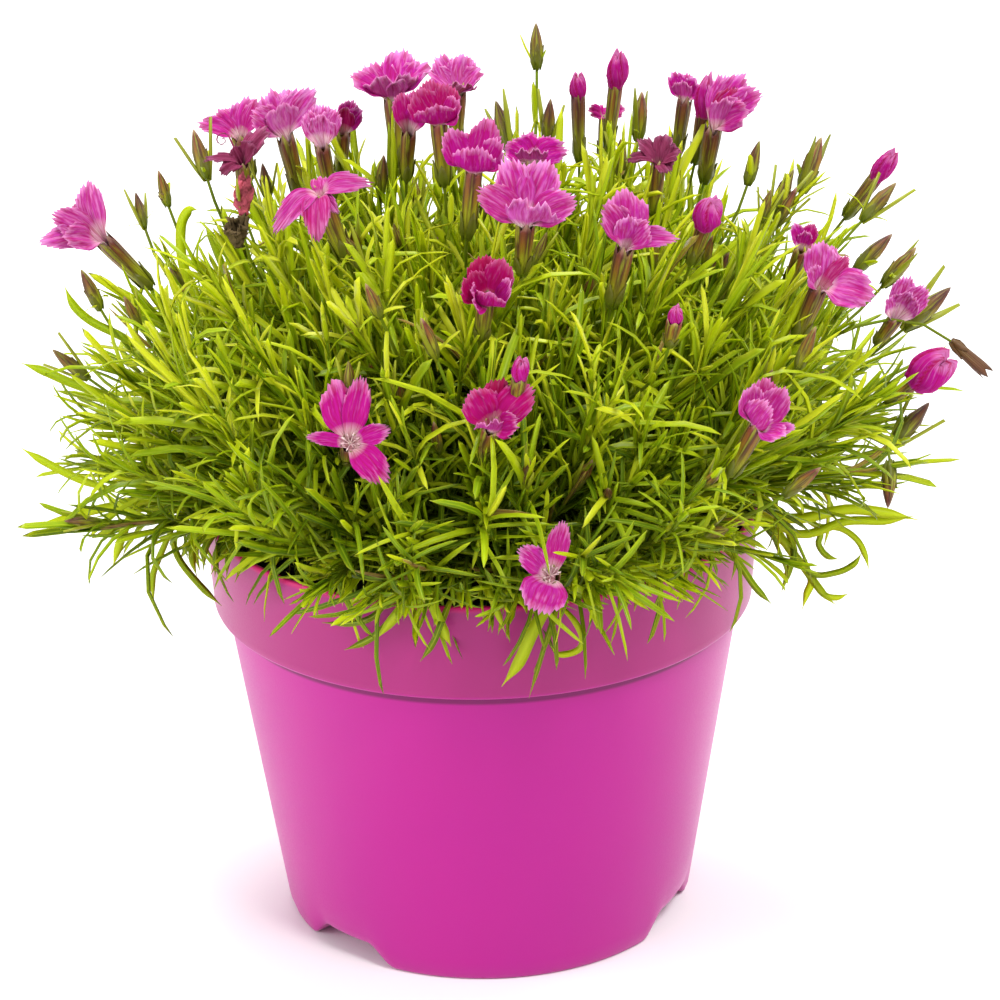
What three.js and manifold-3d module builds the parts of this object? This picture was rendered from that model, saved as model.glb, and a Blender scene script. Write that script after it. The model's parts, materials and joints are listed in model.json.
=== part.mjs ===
// A dianthus (garden pink) in flower, growing in its moulded plastic nursery pot.
// Millimetres, Z up. The pot stands on z = 0, its axis is the Z axis and -Y is the front.
//
// Pot, soil, root crown, leafy branches, branched flower stalks and open corollas are
// separate solids. Everything that grows spreads out from one point under the crown,
// so each leafy branch keeps to its own cone of space and a small gap parts all pieces.

import * as THREE from 'three';
import { mergeVertices } from 'three/addons/utils/BufferGeometryUtils.js';
import Module from 'manifold-3d';

// ---------------------------------------------------------------- driving dimensions

const GAP = 0.35; // clearance kept between neighbouring pieces
const SLIVER = 0.15; // detail finer than this is left out of a cut piece
const AXIS = new THREE.Vector3(0, 0, 1);

const POT = {
  rimRadius: 65, // outside of the collar at the rim: a 13 cm pot
  height: 103,
  wall: 1.3,
  lipRadius: 63.6, // outside of the collar at its lower lip
  lipHeight: 79.6,
  bodyTopRadius: 60.6, // outside of the body just under the lip
  baseRadius: 48,
  segments: 40,
};
const FOOT = {
  azimuths: [-45, 67, 191], // middle of each raised arch in the foot, in degrees from the front
  height: 5, // of the arch
  topWidth: 14,
  bottomWidth: 27,
  innerRadius: 36, // how far in each arch reaches
  drainRadius: 3.5,
};
const SOIL = { height: 94, crownRise: 1.4, segments: 32 };
const CROWN = { centre: new THREE.Vector3(0, 0, 90), radius: 14, segments: 14 };

const MOUND = {
  topReach: 92, // from the crown's centre to the leaf tips at the top of the mound
  sideReach: 109, // and at its sides
  leafLength: 23,
  leafAngle: 36, // between a leaf and its shoot, in degrees
  pairs: 5, // pairs of leaves on a shoot, under the one at its tip
  droop: 12, // how far the lowest shoots sink past the rim
  rimClearAngle: 76, // lowest angle from the vertical that still clears the rim
};
// The leafy branches stand in rings: how many, and their angle from the vertical.
const RINGS = [
  { count: 1, tilt: 0, turn: 0 },
  { count: 4, tilt: 37, turn: 45 },
  { count: 8, tilt: 66, turn: 22.5 },
];
const SHOOTS_PER_BRANCH = 3;
const SHOOT_SPREAD = 14; // degrees between a branch and each of its shoots
const FORK_REACH = 30; // from the crown's centre to the fork of a branch

const STEM_RADIUS = { leafy: 0.8, stalk: 0.65, calyxMouth: 2.1, calyxFoot: 1.3, bud: 1.7 };
const STALK_FORK = 58; // from the crown's centre to the fork of a flower stalk

// One entry a stalk, each with its heads: kind, tip, foot and width. The foot is where the
// calyx joins its stem. The tip is the calyx's mouth, or the point of a closed bud.
// open: spread corolla. cup: upright corolla. half: petals packed together, opening, closed or
// faded. bud: closed, or a calyx whose petals have dried up.
const STALKS = [
  [['open', [-87, 19, 161], [-77, 23, 148], 17], ['bud', [-91, 0, 161], [-87, 0, 151]],
    ['bud', [-80, -16, 160], [-77, -14, 152]], ['bud', [-100, 12, 137], [-92, 11, 130]]],
  [['bud', [-66, 32, 184], [-63, 28, 173]], ['bud', [-74, 23, 177], [-72, 23, 168]],
    ['bud', [-81, 40, 166], [-79, 37, 158]]],
  [['open', [-56, 45, 178], [-54, 48, 166], 18], ['half', [-54, 17, 180], [-54, 19, 169], 12],
    ['bud', [-52, -8, 185], [-53, -6, 176]], ['bud', [-50, 30, 176], [-49, 30, 167]]],
  [['open', [-44, 24, 184], [-41, 26, 168], 19], ['half', [-35, 8, 187], [-33, 12, 173], 9],
    ['half', [-31, 34, 182], [-32, 37, 170], 8], ['bud', [-21, 13, 183], [-22, 14, 173]]],
  [['open', [-34, -28, 187], [-29, -23, 170], 21], ['bud', [-24, -55, 176], [-21, -52, 167]]],
  [['open', [-19, 27, 192], [-18, 26, 176], 22], ['cup', [-8, -3, 196], [-7, -1, 180], 14],
    ['half', [-15, 8, 190], [-16, 12, 177], 9], ['open', [-4, 58, 184], [-5, 60, 168], 16]],
  [['cup', [0, -23, 191], [-2, -21, 174], 16], ['bud', [5, 34, 189], [8, 29, 178]]],
  [['open', [13, 5, 183], [12, 7, 169], 17], ['bud', [15, 57, 201], [15, 55, 190]],
    ['bud', [18, 38, 188], [17, 37, 177]], ['open', [11, -43, 185], [10, -36, 171], 23]],
  [['half', [25, 62, 181], [25, 60, 165], 4.2], ['half', [34, 59, 185], [32, 59, 169], 5.4],
    ['bud', [40, 52, 185], [39, 51, 173]], ['half', [42, 6, 182], [41, 7, 169], 8],
    ['bud', [34, 25, 182], [34, 26, 172]], ['half', [32, 70, 173], [31, 68, 163], 10]],
  [['half', [50, 48, 184], [48, 48, 170], 9], ['open', [56, 31, 182], [54, 34, 168], 18],
    ['bud', [67, 34, 178], [64, 31, 168]], ['half', [54, 38, 184], [52, 39, 171], 5.6]],
  [['half', [51, -28, 179], [48, -24, 168], 6.6], ['bud', [67, -8, 180], [65, -7, 172]],
    ['bud', [74, 18, 176], [69, 14, 167]], ['bud', [82, 39, 177], [77, 34, 165]]],
  [['half', [95, 38, 167], [88, 41, 156], 4.8], ['bud', [98, 19, 172], [90, 16, 164]],
    ['bud', [98, 26, 157], [89, 23, 149]], ['half', [97, 6, 143], [93, 8, 136], 9],
    ['bud', [105, 39, 149], [97, 37, 140]], ['bud', [111, 16, 147], [100, 13, 138]]],
  [['open', [77, -24, 162], [72, -21, 148], 19], ['half', [75, 2, 162], [72, 6, 152], 7],
    ['bud', [75, -41, 159], [71, -41, 149]]],
  [['half', [101, -8, 133], [94, -6, 127], 9.4], ['bud', [105, 1, 124], [96, -3, 115]],
    ['bud', [93, -27, 109], [94, -20, 118]], ['bud', [118, 2, 131], [110, 4, 138]]],
  [['cup', [61, -64, 145], [55, -59, 131], 12], ['bud', [75, -60, 133], [67, -59, 126]]],
  [['open', [33, -38, 177], [30, -34, 162], 18], ['half', [43, -57, 167], [42, -54, 160], 3.4]],
  [['cup', [2, -56, 172], [1, -51, 161], 12], ['bud', [-12, -61, 170], [-9, -59, 160]],
    ['open', [3, -73, 149], [1, -63, 139], 15], ['half', [9, -72, 160], [8, -69, 153], 3.8]],
  [['open', [-28, -66, 143], [-29, -56, 135], 18], ['bud', [-28, -60, 160], [-28, -58, 151]]],
  [['open', [15, -87, 120], [14, -78, 110], 16]],
  [['open', [46, 87, 130], [39, 75, 122], 18], ['bud', [62, 78, 118], [55, 70, 112]],
    ['bud', [30, 98, 122], [27, 90, 115]]],
  [['open', [-12, 100, 127], [-11, 88, 117], 19], ['cup', [-34, 92, 134], [-30, 82, 124], 13],
    ['bud', [8, 104, 118], [7, 95, 112]]],
  [['open', [-62, 80, 117], [-55, 71, 109], 18], ['bud', [-50, 88, 114], [-45, 80, 108]],
    ['bud', [-76, 64, 112], [-69, 58, 106]]],
];

const MATERIALS = {
  pot: new THREE.MeshStandardMaterial({ color: 0xd6409f, roughness: 0.42, metalness: 0 }),
  soil: new THREE.MeshStandardMaterial({ color: 0x2e2119, roughness: 0.95, metalness: 0 }),
  bark: new THREE.MeshStandardMaterial({ color: 0x6f5a36, roughness: 0.85, metalness: 0 }),
  leaf: new THREE.MeshStandardMaterial({ color: 0x7d9a12, roughness: 0.55, metalness: 0 }),
  stalk: new THREE.MeshStandardMaterial({ color: 0x5f5f26, roughness: 0.55, metalness: 0 }),
  petal: new THREE.MeshStandardMaterial({ color: 0xdb3fae, roughness: 0.6, metalness: 0 }),
};

// ---------------------------------------------------------------- joining and cutting

const wasm = await Module();
wasm.setup();

function toSolid(geometry) {
  geometry.deleteAttribute('normal');
  geometry.deleteAttribute('uv');
  const merged = mergeVertices(geometry, 1e-4);
  return new wasm.Manifold(new wasm.Mesh({
    numProp: 3,
    vertProperties: new Float32Array(merged.attributes.position.array),
    triVerts: new Uint32Array(merged.index.array),
  }));
}

function toGeometry(solid) {
  const mesh = solid.getMesh();
  const geometry = new THREE.BufferGeometry();
  geometry.setAttribute('position', new THREE.BufferAttribute(mesh.vertProperties, 3));
  geometry.setIndex(new THREE.BufferAttribute(mesh.triVerts, 1));
  return geometry;
}

function join(solids) {
  return solids.reduce((all, solid) => all.add(solid));
}

// The biggest connected body of a solid that a cut may have parted, less its finest slivers.
function biggestPiece(solid) {
  return solid.simplify(SLIVER).decompose()
    .reduce((best, piece) => (piece.volume() > best.volume() ? piece : best));
}

// ---------------------------------------------------------------- shapes along a line

const point = (xyz) => new THREE.Vector3(...xyz);
const radians = THREE.MathUtils.degToRad;

// Turns a shape made along +Y from the origin so that it runs from one point towards another.
function along(geometry, from, to) {
  const direction = to.clone().sub(from).normalize();
  const turn = new THREE.Quaternion().setFromUnitVectors(new THREE.Vector3(0, 1, 0), direction);
  return geometry.applyQuaternion(turn).translate(from.x, from.y, from.z);
}

function revolve(profile, segments) {
  return new THREE.LatheGeometry(profile.map(([r, y]) => new THREE.Vector2(r, y)), segments);
}

// Revolves a profile about the Z axis instead of three's own Y axis.
function revolveUpright(profile, segments) {
  return revolve(profile, segments).rotateX(Math.PI / 2);
}

function tube(curve, radius, steps = 2, sides = 3) {
  const section = new THREE.Shape(Array.from({ length: sides }, (_, i) => {
    const angle = (i / sides) * Math.PI * 2;
    return new THREE.Vector2(radius * Math.cos(angle), radius * Math.sin(angle));
  }));
  return new THREE.ExtrudeGeometry(section, { extrudePath: curve, steps, bevelEnabled: false });
}

// A direction from its angle to the vertical and its azimuth, which runs from +X to +Y.
function heading(tilt, azimuth) {
  return new THREE.Vector3(
    Math.sin(radians(tilt)) * Math.cos(radians(azimuth)),
    Math.sin(radians(tilt)) * Math.sin(radians(azimuth)),
    Math.cos(radians(tilt)),
  );
}

const fromCrown = (direction, reach) => CROWN.centre.clone().addScaledVector(direction, reach);

// ---------------------------------------------------------------- pot, soil and crown

// Half of the pot's outside, from the middle of the base up to the rim.
const potOutside = [
  [0, 0],
  [POT.baseRadius - 1.4, 0],
  [POT.baseRadius, 1.3],
  [POT.bodyTopRadius, POT.lipHeight],
  [POT.lipRadius - 0.5, POT.lipHeight],
  [POT.lipRadius, POT.lipHeight + 0.7],
  [POT.rimRadius, POT.height - 1.2],
  [POT.rimRadius - 0.5, POT.height],
];

// The same line one wall further in, from the rim down to the base.
const potInside = [
  [POT.rimRadius - POT.wall, POT.height],
  [POT.rimRadius - POT.wall - 0.2, POT.height - 1.2],
  [POT.lipRadius - POT.wall, POT.lipHeight + POT.wall + 0.6],
  [POT.bodyTopRadius - POT.wall, POT.lipHeight + POT.wall],
  [POT.baseRadius - POT.wall, POT.wall + 0.4],
  [0, POT.wall + 0.4],
];

// A block with slanting ends that fills one arch of the foot, grown on all sides by `grow`.
function archBlock(azimuth, grow) {
  const top = FOOT.topWidth / 2 + grow;
  const bottom = FOOT.bottomWidth / 2 + grow;
  const height = FOOT.height + grow;
  const outline = new THREE.Shape();
  outline.moveTo(-bottom - 2, -2);
  outline.lineTo(-bottom, 0);
  outline.quadraticCurveTo(-top - 1.5, height * 0.4, -top, height);
  outline.lineTo(top, height);
  outline.quadraticCurveTo(top + 1.5, height * 0.4, bottom, 0);
  outline.lineTo(bottom + 2, -2);
  const depth = POT.baseRadius + 6 - FOOT.innerRadius + grow;
  const block = new THREE.ExtrudeGeometry(outline, { depth, curveSegments: 4, bevelEnabled: false });
  return toSolid(block
    .rotateX(Math.PI / 2)
    .translate(0, -FOOT.innerRadius + grow, 0)
    .rotateZ(radians(azimuth)));
}

function drainHole(azimuth) {
  const { innerRadius, height, drainRadius } = FOOT;
  const hole = new THREE.CylinderGeometry(drainRadius, drainRadius, 4, 12).rotateX(Math.PI / 2);
  return toSolid(hole.translate(0, -innerRadius - 5.5, height + 0.6).rotateZ(radians(azimuth)));
}

function makePot() {
  // What lies within the middle of the wall: the arches' own walls are let into it.
  const wallMiddle = potOutside.map(([r, z]) => [Math.max(r - POT.wall / 2, 0), z + POT.wall / 2]);
  const within = toSolid(revolveUpright([...wallMiddle, [0, POT.height + POT.wall / 2]], POT.segments));
  const shell = toSolid(revolveUpright([...potOutside, ...potInside], POT.segments));
  const liners = join(FOOT.azimuths.map((azimuth) => archBlock(azimuth, POT.wall)));
  const arches = join(FOOT.azimuths.map((azimuth) => archBlock(azimuth, 0)));
  const drains = join(FOOT.azimuths.map(drainHole));
  return shell.add(liners.intersect(within)).subtract(arches).subtract(drains);
}

function makeSoil() {
  const inner = POT.wall + GAP;
  const radiusAt = (z) => POT.lipRadius - inner
    + ((POT.rimRadius - POT.lipRadius) * (z - POT.lipHeight)) / (POT.height - POT.lipHeight);
  const filling = toSolid(revolveUpright([
    [0, inner + 0.4],
    [POT.baseRadius - inner - 0.2, inner + 0.4],
    [POT.bodyTopRadius - inner - 0.1, POT.lipHeight + inner],
    [POT.lipRadius - inner - 0.3, POT.lipHeight + inner + 0.7],
    [radiusAt(SOIL.height - 1) - 0.3, SOIL.height - 1],
    [POT.lipRadius * 0.6, SOIL.height + 0.5],
    [0, SOIL.height + SOIL.crownRise],
  ], SOIL.segments));
  const arches = join(FOOT.azimuths.map((azimuth) => archBlock(azimuth, POT.wall + GAP)));
  return filling.subtract(arches);
}

// The woody crown: a low knot on the soil, where every stem starts.
function makeCrown() {
  const base = SOIL.height + SOIL.crownRise + GAP;
  const { radius, centre, segments } = CROWN;
  const arc = Array.from({ length: 5 }, (_, i) => {
    const low = Math.asin((base - centre.z) / radius);
    const angle = THREE.MathUtils.lerp(low, Math.PI / 2, i / 4);
    return [i === 4 ? 0 : radius * Math.cos(angle), centre.z + radius * Math.sin(angle)];
  });
  return toSolid(revolveUpright([[0, base], ...arc], segments));
}

// ---------------------------------------------------------------- leafy branches

function shootCurve(tilt, azimuth) {
  const low = THREE.MathUtils.smoothstep(tilt, 50, 80);
  const clear = Math.min(tilt, MOUND.rimClearAngle);
  const reach = THREE.MathUtils.lerp(MOUND.topReach, MOUND.sideReach, Math.min(tilt / 60, 1));
  const tip = fromCrown(heading(clear, azimuth), reach - MOUND.leafLength * 0.8)
    .addScaledVector(AXIS, -MOUND.droop * low);
  const knee = fromCrown(heading(clear - 5 * low, azimuth), reach * 0.62);
  return { knee, tip };
}

// A four-sided stem with rings of corners, on which every other ring has two opposite corners
// drawn out into leaf tips. Each pair of leaves stands a quarter turn from the last, and the
// stem itself runs out into a leaf.
function leafyShoot(fork, tilt, azimuth) {
  const { knee, tip } = shootCurve(tilt, azimuth);
  const curve = new THREE.QuadraticBezierCurve3(fork, knee, tip);
  const rings = MOUND.pairs * 2 + 2;
  const shoot = new THREE.CylinderGeometry(1, 1, 1, 4, rings);
  const corners = shoot.attributes.position;
  const upward = new THREE.Vector3();
  for (let i = 0; i < corners.count; i++) {
    const ring = Math.round((corners.getY(i) + 0.5) * rings);
    const t = ring / rings;
    const tangent = curve.getTangent(t);
    const sideways = new THREE.Vector3().crossVectors(AXIS, tangent).normalize();
    upward.crossVectors(sideways, tangent);
    const onSide = Math.abs(corners.getX(i)) > 0.5;
    const outward = sideways.multiplyScalar(corners.getX(i)).addScaledVector(upward, corners.getZ(i));
    const thickness = STEM_RADIUS.leafy * (ring === rings ? 0.1 : 1.2 - 0.5 * t);
    const place = curve.getPoint(t).addScaledVector(outward, thickness);
    if (ring === rings) place.addScaledVector(tangent, MOUND.leafLength * 0.5);
    const bearsLeaf = ring % 2 === 1 && ring < rings - 1 && outward.lengthSq() > 0.5;
    if (bearsLeaf && onSide === (ring % 4 === 1)) {
      const splay = radians(MOUND.leafAngle * (1.15 - 0.5 * t));
      place.addScaledVector(tangent, MOUND.leafLength * Math.cos(splay))
        .addScaledVector(outward, MOUND.leafLength * Math.sin(splay));
    }
    corners.setXYZ(i, place.x, place.y, place.z);
  }
  return toSolid(shoot);
}

function leafyBranch({ tilt, azimuth }) {
  const axis = heading(tilt, azimuth);
  const fork = fromCrown(axis, FORK_REACH);
  const stem = new THREE.LineCurve3(fromCrown(axis, CROWN.radius + GAP), fork);
  const solids = [toSolid(tube(stem, STEM_RADIUS.leafy, 1))];
  for (let i = 0; i < SHOOTS_PER_BRANCH; i++) {
    // Each shoot leans off the branch by SHOOT_SPREAD, towards one corner of the branch's cone.
    const corner = radians((360 / SHOOTS_PER_BRANCH) * i);
    const lean = SHOOT_SPREAD * Math.cos(corner);
    const swing = (SHOOT_SPREAD * Math.sin(corner)) / Math.max(Math.sin(radians(tilt)), 0.35);
    const away = tilt === 0
      ? { tilt: SHOOT_SPREAD, azimuth: (360 / SHOOTS_PER_BRANCH) * i }
      : { tilt: tilt + lean, azimuth: azimuth + swing };
    solids.push(leafyShoot(fork, away.tilt, away.azimuth));
  }
  return join(solids);
}

const branchPlaces = RINGS.flatMap(({ count, tilt, turn }) => (
  Array.from({ length: count }, (_, i) => ({ tilt, azimuth: turn + (360 / count) * i }))
));

// Cuts a branch back to the cone of directions that are nearer to its own than to any other.
function inOwnCone(solid, place) {
  const own = heading(place.tilt, place.azimuth);
  return branchPlaces.filter((other) => other !== place).reduce((rest, other) => {
    const normal = own.clone().sub(heading(other.tilt, other.azimuth)).normalize();
    const offset = normal.dot(CROWN.centre) + GAP / 2;
    return rest.trimByPlane(normal.toArray(), offset);
  }, solid);
}

// Space that leaves stay out of: the soil, the crown and the pot's wall, each grown by the gap.
function keptClear() {
  const top = SOIL.height + SOIL.crownRise + GAP;
  const soil = revolveUpright([[0, 60], [POT.lipRadius - 1, 60], [POT.lipRadius - 1, top], [0, top]], 24);
  const wall = revolveUpright([
    [POT.bodyTopRadius - 4, 40],
    [POT.rimRadius + 0.7, 40],
    [POT.rimRadius + 0.7, POT.height + GAP],
    [POT.rimRadius - POT.wall - 1.2, POT.height + GAP],
    [POT.bodyTopRadius - 4, 80],
    [POT.bodyTopRadius - 4, 40],
  ], POT.segments);
  return toSolid(soil).add(toSolid(wall));
}

// ---------------------------------------------------------------- flower stalks

const hasOwnCorolla = (kind) => kind === 'open' || kind === 'cup';

// What one head adds to its stalk: a bud, or a calyx, with its packed petals if it has any.
function headSolid([kind, tipXyz, footXyz, width], grow) {
  const foot = point(footXyz);
  const tip = point(tipXyz);
  const length = tip.distanceTo(foot);
  if (kind === 'bud') {
    const r = STEM_RADIUS.bud + grow;
    const spindle = revolve([[0, -grow], [r * 0.7, 0.4], [r, length * 0.4], [0, length + grow]], 4);
    return toSolid(along(spindle, foot, tip));
  }
  const calyx = new THREE.CylinderGeometry(
    STEM_RADIUS.calyxMouth + grow, STEM_RADIUS.calyxFoot + grow, length + 2 * grow, 5,
  ).translate(0, length / 2, 0);
  const solid = toSolid(along(calyx, foot, tip));
  if (kind !== 'half') return solid;
  const petals = new THREE.SphereGeometry(width / 2 + grow, 5, 3)
    .scale(1, 0.9, 1)
    .translate(0, length + width * 0.3, 0);
  return solid.add(toSolid(along(petals, foot, tip)));
}

// A stem goes straight out from the crown to a fork, and a thinner one arches to each head.
function flowerStalk(heads, grow = 0) {
  const feet = heads.map(([, , foot]) => point(foot));
  const middle = feet.reduce((sum, foot) => sum.add(foot.clone().sub(CROWN.centre)), new THREE.Vector3());
  const axis = middle.normalize();
  const reach = Math.min(...feet.map((foot) => foot.distanceTo(CROWN.centre)));
  const forkReach = Math.min(STALK_FORK, reach - 14);
  const stemStart = fromCrown(axis, CROWN.radius + GAP - grow);
  const stem = new THREE.LineCurve3(stemStart, fromCrown(axis, forkReach + 1));
  const solids = [toSolid(tube(stem, STEM_RADIUS.stalk * 1.2 + grow, 1))];
  heads.forEach((head, i) => {
    const [, tip, foot] = head;
    const calyxLine = feet[i].clone().sub(point(tip)).normalize();
    const fork = fromCrown(axis, forkReach - 4 * i);
    const knee = feet[i].clone().addScaledVector(calyxLine, feet[i].distanceTo(fork) * 0.4);
    const inside = point(foot).addScaledVector(calyxLine, -1);
    const curve = new THREE.QuadraticBezierCurve3(fork, knee, inside);
    solids.push(toSolid(tube(curve, STEM_RADIUS.stalk + grow)), headSolid(head, grow));
  });
  return join(solids);
}

// Five petals spread from the calyx's mouth as a thin dished disc with a lobed edge.
function corolla([kind, tipXyz, footXyz, width], grow = 0) {
  const radius = width / 2;
  const rise = kind === 'cup' ? radius * 0.95 : radius * 0.35;
  const thickness = 0.9 + 2 * grow;
  const bottom = GAP - grow;
  const disc = revolve([
    [0, bottom],
    [radius * 0.55, bottom + rise * 0.35],
    [radius + grow, bottom + rise],
    [radius + grow, bottom + rise + thickness],
    [0, bottom + thickness + rise * 0.15],
  ], 15);
  const place = disc.attributes.position;
  for (let i = 0; i < place.count; i++) {
    const x = place.getX(i);
    const z = place.getZ(i);
    const lobe = 1 + 0.07 * Math.cos(5 * Math.atan2(z, x));
    place.setX(i, x * lobe);
    place.setZ(i, z * lobe);
  }
  const foot = point(footXyz);
  const mouth = point(tipXyz);
  disc.translate(0, mouth.distanceTo(foot), 0);
  return toSolid(along(disc, foot, mouth));
}

// ---------------------------------------------------------------- assembly

const group = new THREE.Group();

function addPiece(name, solid, material) {
  const mesh = new THREE.Mesh(toGeometry(solid), material);
  mesh.name = name;
  group.add(mesh);
}

const numbered = (name, index) => `${name}_${String(index + 1).padStart(2, '0')}`;

addPiece('pot', makePot(), MATERIALS.pot);
addPiece('potting_soil', makeSoil(), MATERIALS.soil);
addPiece('root_crown', makeCrown(), MATERIALS.bark);

// Stalks first, then corollas, then branches: each is cut back from what is already there.
const flowers = STALKS.flat().filter(([kind]) => hasOwnCorolla(kind));
let taken = keptClear();

STALKS.forEach((heads, i) => {
  addPiece(numbered('flower_stalk', i), biggestPiece(flowerStalk(heads).subtract(taken)), MATERIALS.stalk);
  taken = taken.add(flowerStalk(heads, GAP));
});

flowers.forEach((head, i) => {
  addPiece(numbered('corolla', i), biggestPiece(corolla(head).subtract(taken)), MATERIALS.petal);
});
taken = flowers.reduce((all, head) => all.add(corolla(head, GAP)), taken);

branchPlaces.forEach((place, i) => {
  const branch = inOwnCone(leafyBranch(place), place).subtract(taken);
  addPiece(numbered('leafy_branch', i), biggestPiece(branch), MATERIALS.leaf);
});

export default group;
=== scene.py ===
import json
import math
import random
from math import cos, pi, radians, sin

import bmesh
import bpy
import numpy as np
from mathutils import Euler, Matrix, Vector, noise
from mathutils.bvhtree import BVHTree

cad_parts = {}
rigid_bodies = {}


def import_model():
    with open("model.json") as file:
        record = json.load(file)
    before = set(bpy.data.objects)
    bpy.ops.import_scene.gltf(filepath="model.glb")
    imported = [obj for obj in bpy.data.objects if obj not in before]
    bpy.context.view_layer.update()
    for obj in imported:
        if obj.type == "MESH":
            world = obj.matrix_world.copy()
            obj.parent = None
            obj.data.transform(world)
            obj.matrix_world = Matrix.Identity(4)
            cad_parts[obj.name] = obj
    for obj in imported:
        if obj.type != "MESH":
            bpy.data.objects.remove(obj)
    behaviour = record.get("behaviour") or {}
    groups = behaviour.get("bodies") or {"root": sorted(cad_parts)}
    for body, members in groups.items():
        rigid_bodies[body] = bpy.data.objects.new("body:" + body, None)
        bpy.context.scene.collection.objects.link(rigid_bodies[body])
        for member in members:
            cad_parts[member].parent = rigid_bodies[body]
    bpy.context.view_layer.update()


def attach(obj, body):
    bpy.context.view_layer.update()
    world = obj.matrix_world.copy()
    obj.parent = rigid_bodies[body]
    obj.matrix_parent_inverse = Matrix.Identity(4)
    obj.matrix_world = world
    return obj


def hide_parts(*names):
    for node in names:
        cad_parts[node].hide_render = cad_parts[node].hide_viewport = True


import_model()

# ------------------------------------------------------------------ measures, in millimetres

MM = 0.001
UP = Vector((0, 0, 1))
CROWN = Vector((0, 0, 90))

# The pot: its height and wall, the height of the lip under its collar, and its outer radius at
# the rim, at the lip, at the body's top and at the base.
POT_HEIGHT, WALL, LIP_HEIGHT = 103.0, 1.3, 79.6
RIM, LIP, BODY_TOP, BASE = 65.0, 63.6, 60.6, 48.0
FOOT = dict(azimuths=(-135, -23, 101), height=5.0, top=14.0, bottom=27.0, inner=36.0)  # arches
SOIL_TOP = 94.0

# The leafy branches stand in rings about the crown: how many, tilt from the vertical, turn.
BRANCH_RINGS = ((1, 0, 0), (4, 37, 45), (8, 66, 22.5))
SHOOTS = 500
BUDS_EVERY = 7  # one shoot in so many ends in a young bud
MOUND = dict(top=94, side=111, leaf=26.0, leaf_width=1.14)
RIM_BARE = ((208, 238), (322, 345))  # azimuths where the pot's rim stays in sight

# The camera looks down at the plant's front.
FRONT_TILT, CAMERA_ROLL = 0.394, -0.018
CAMERA_PLACE = (4.37, -946.4, 495.1)

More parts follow.
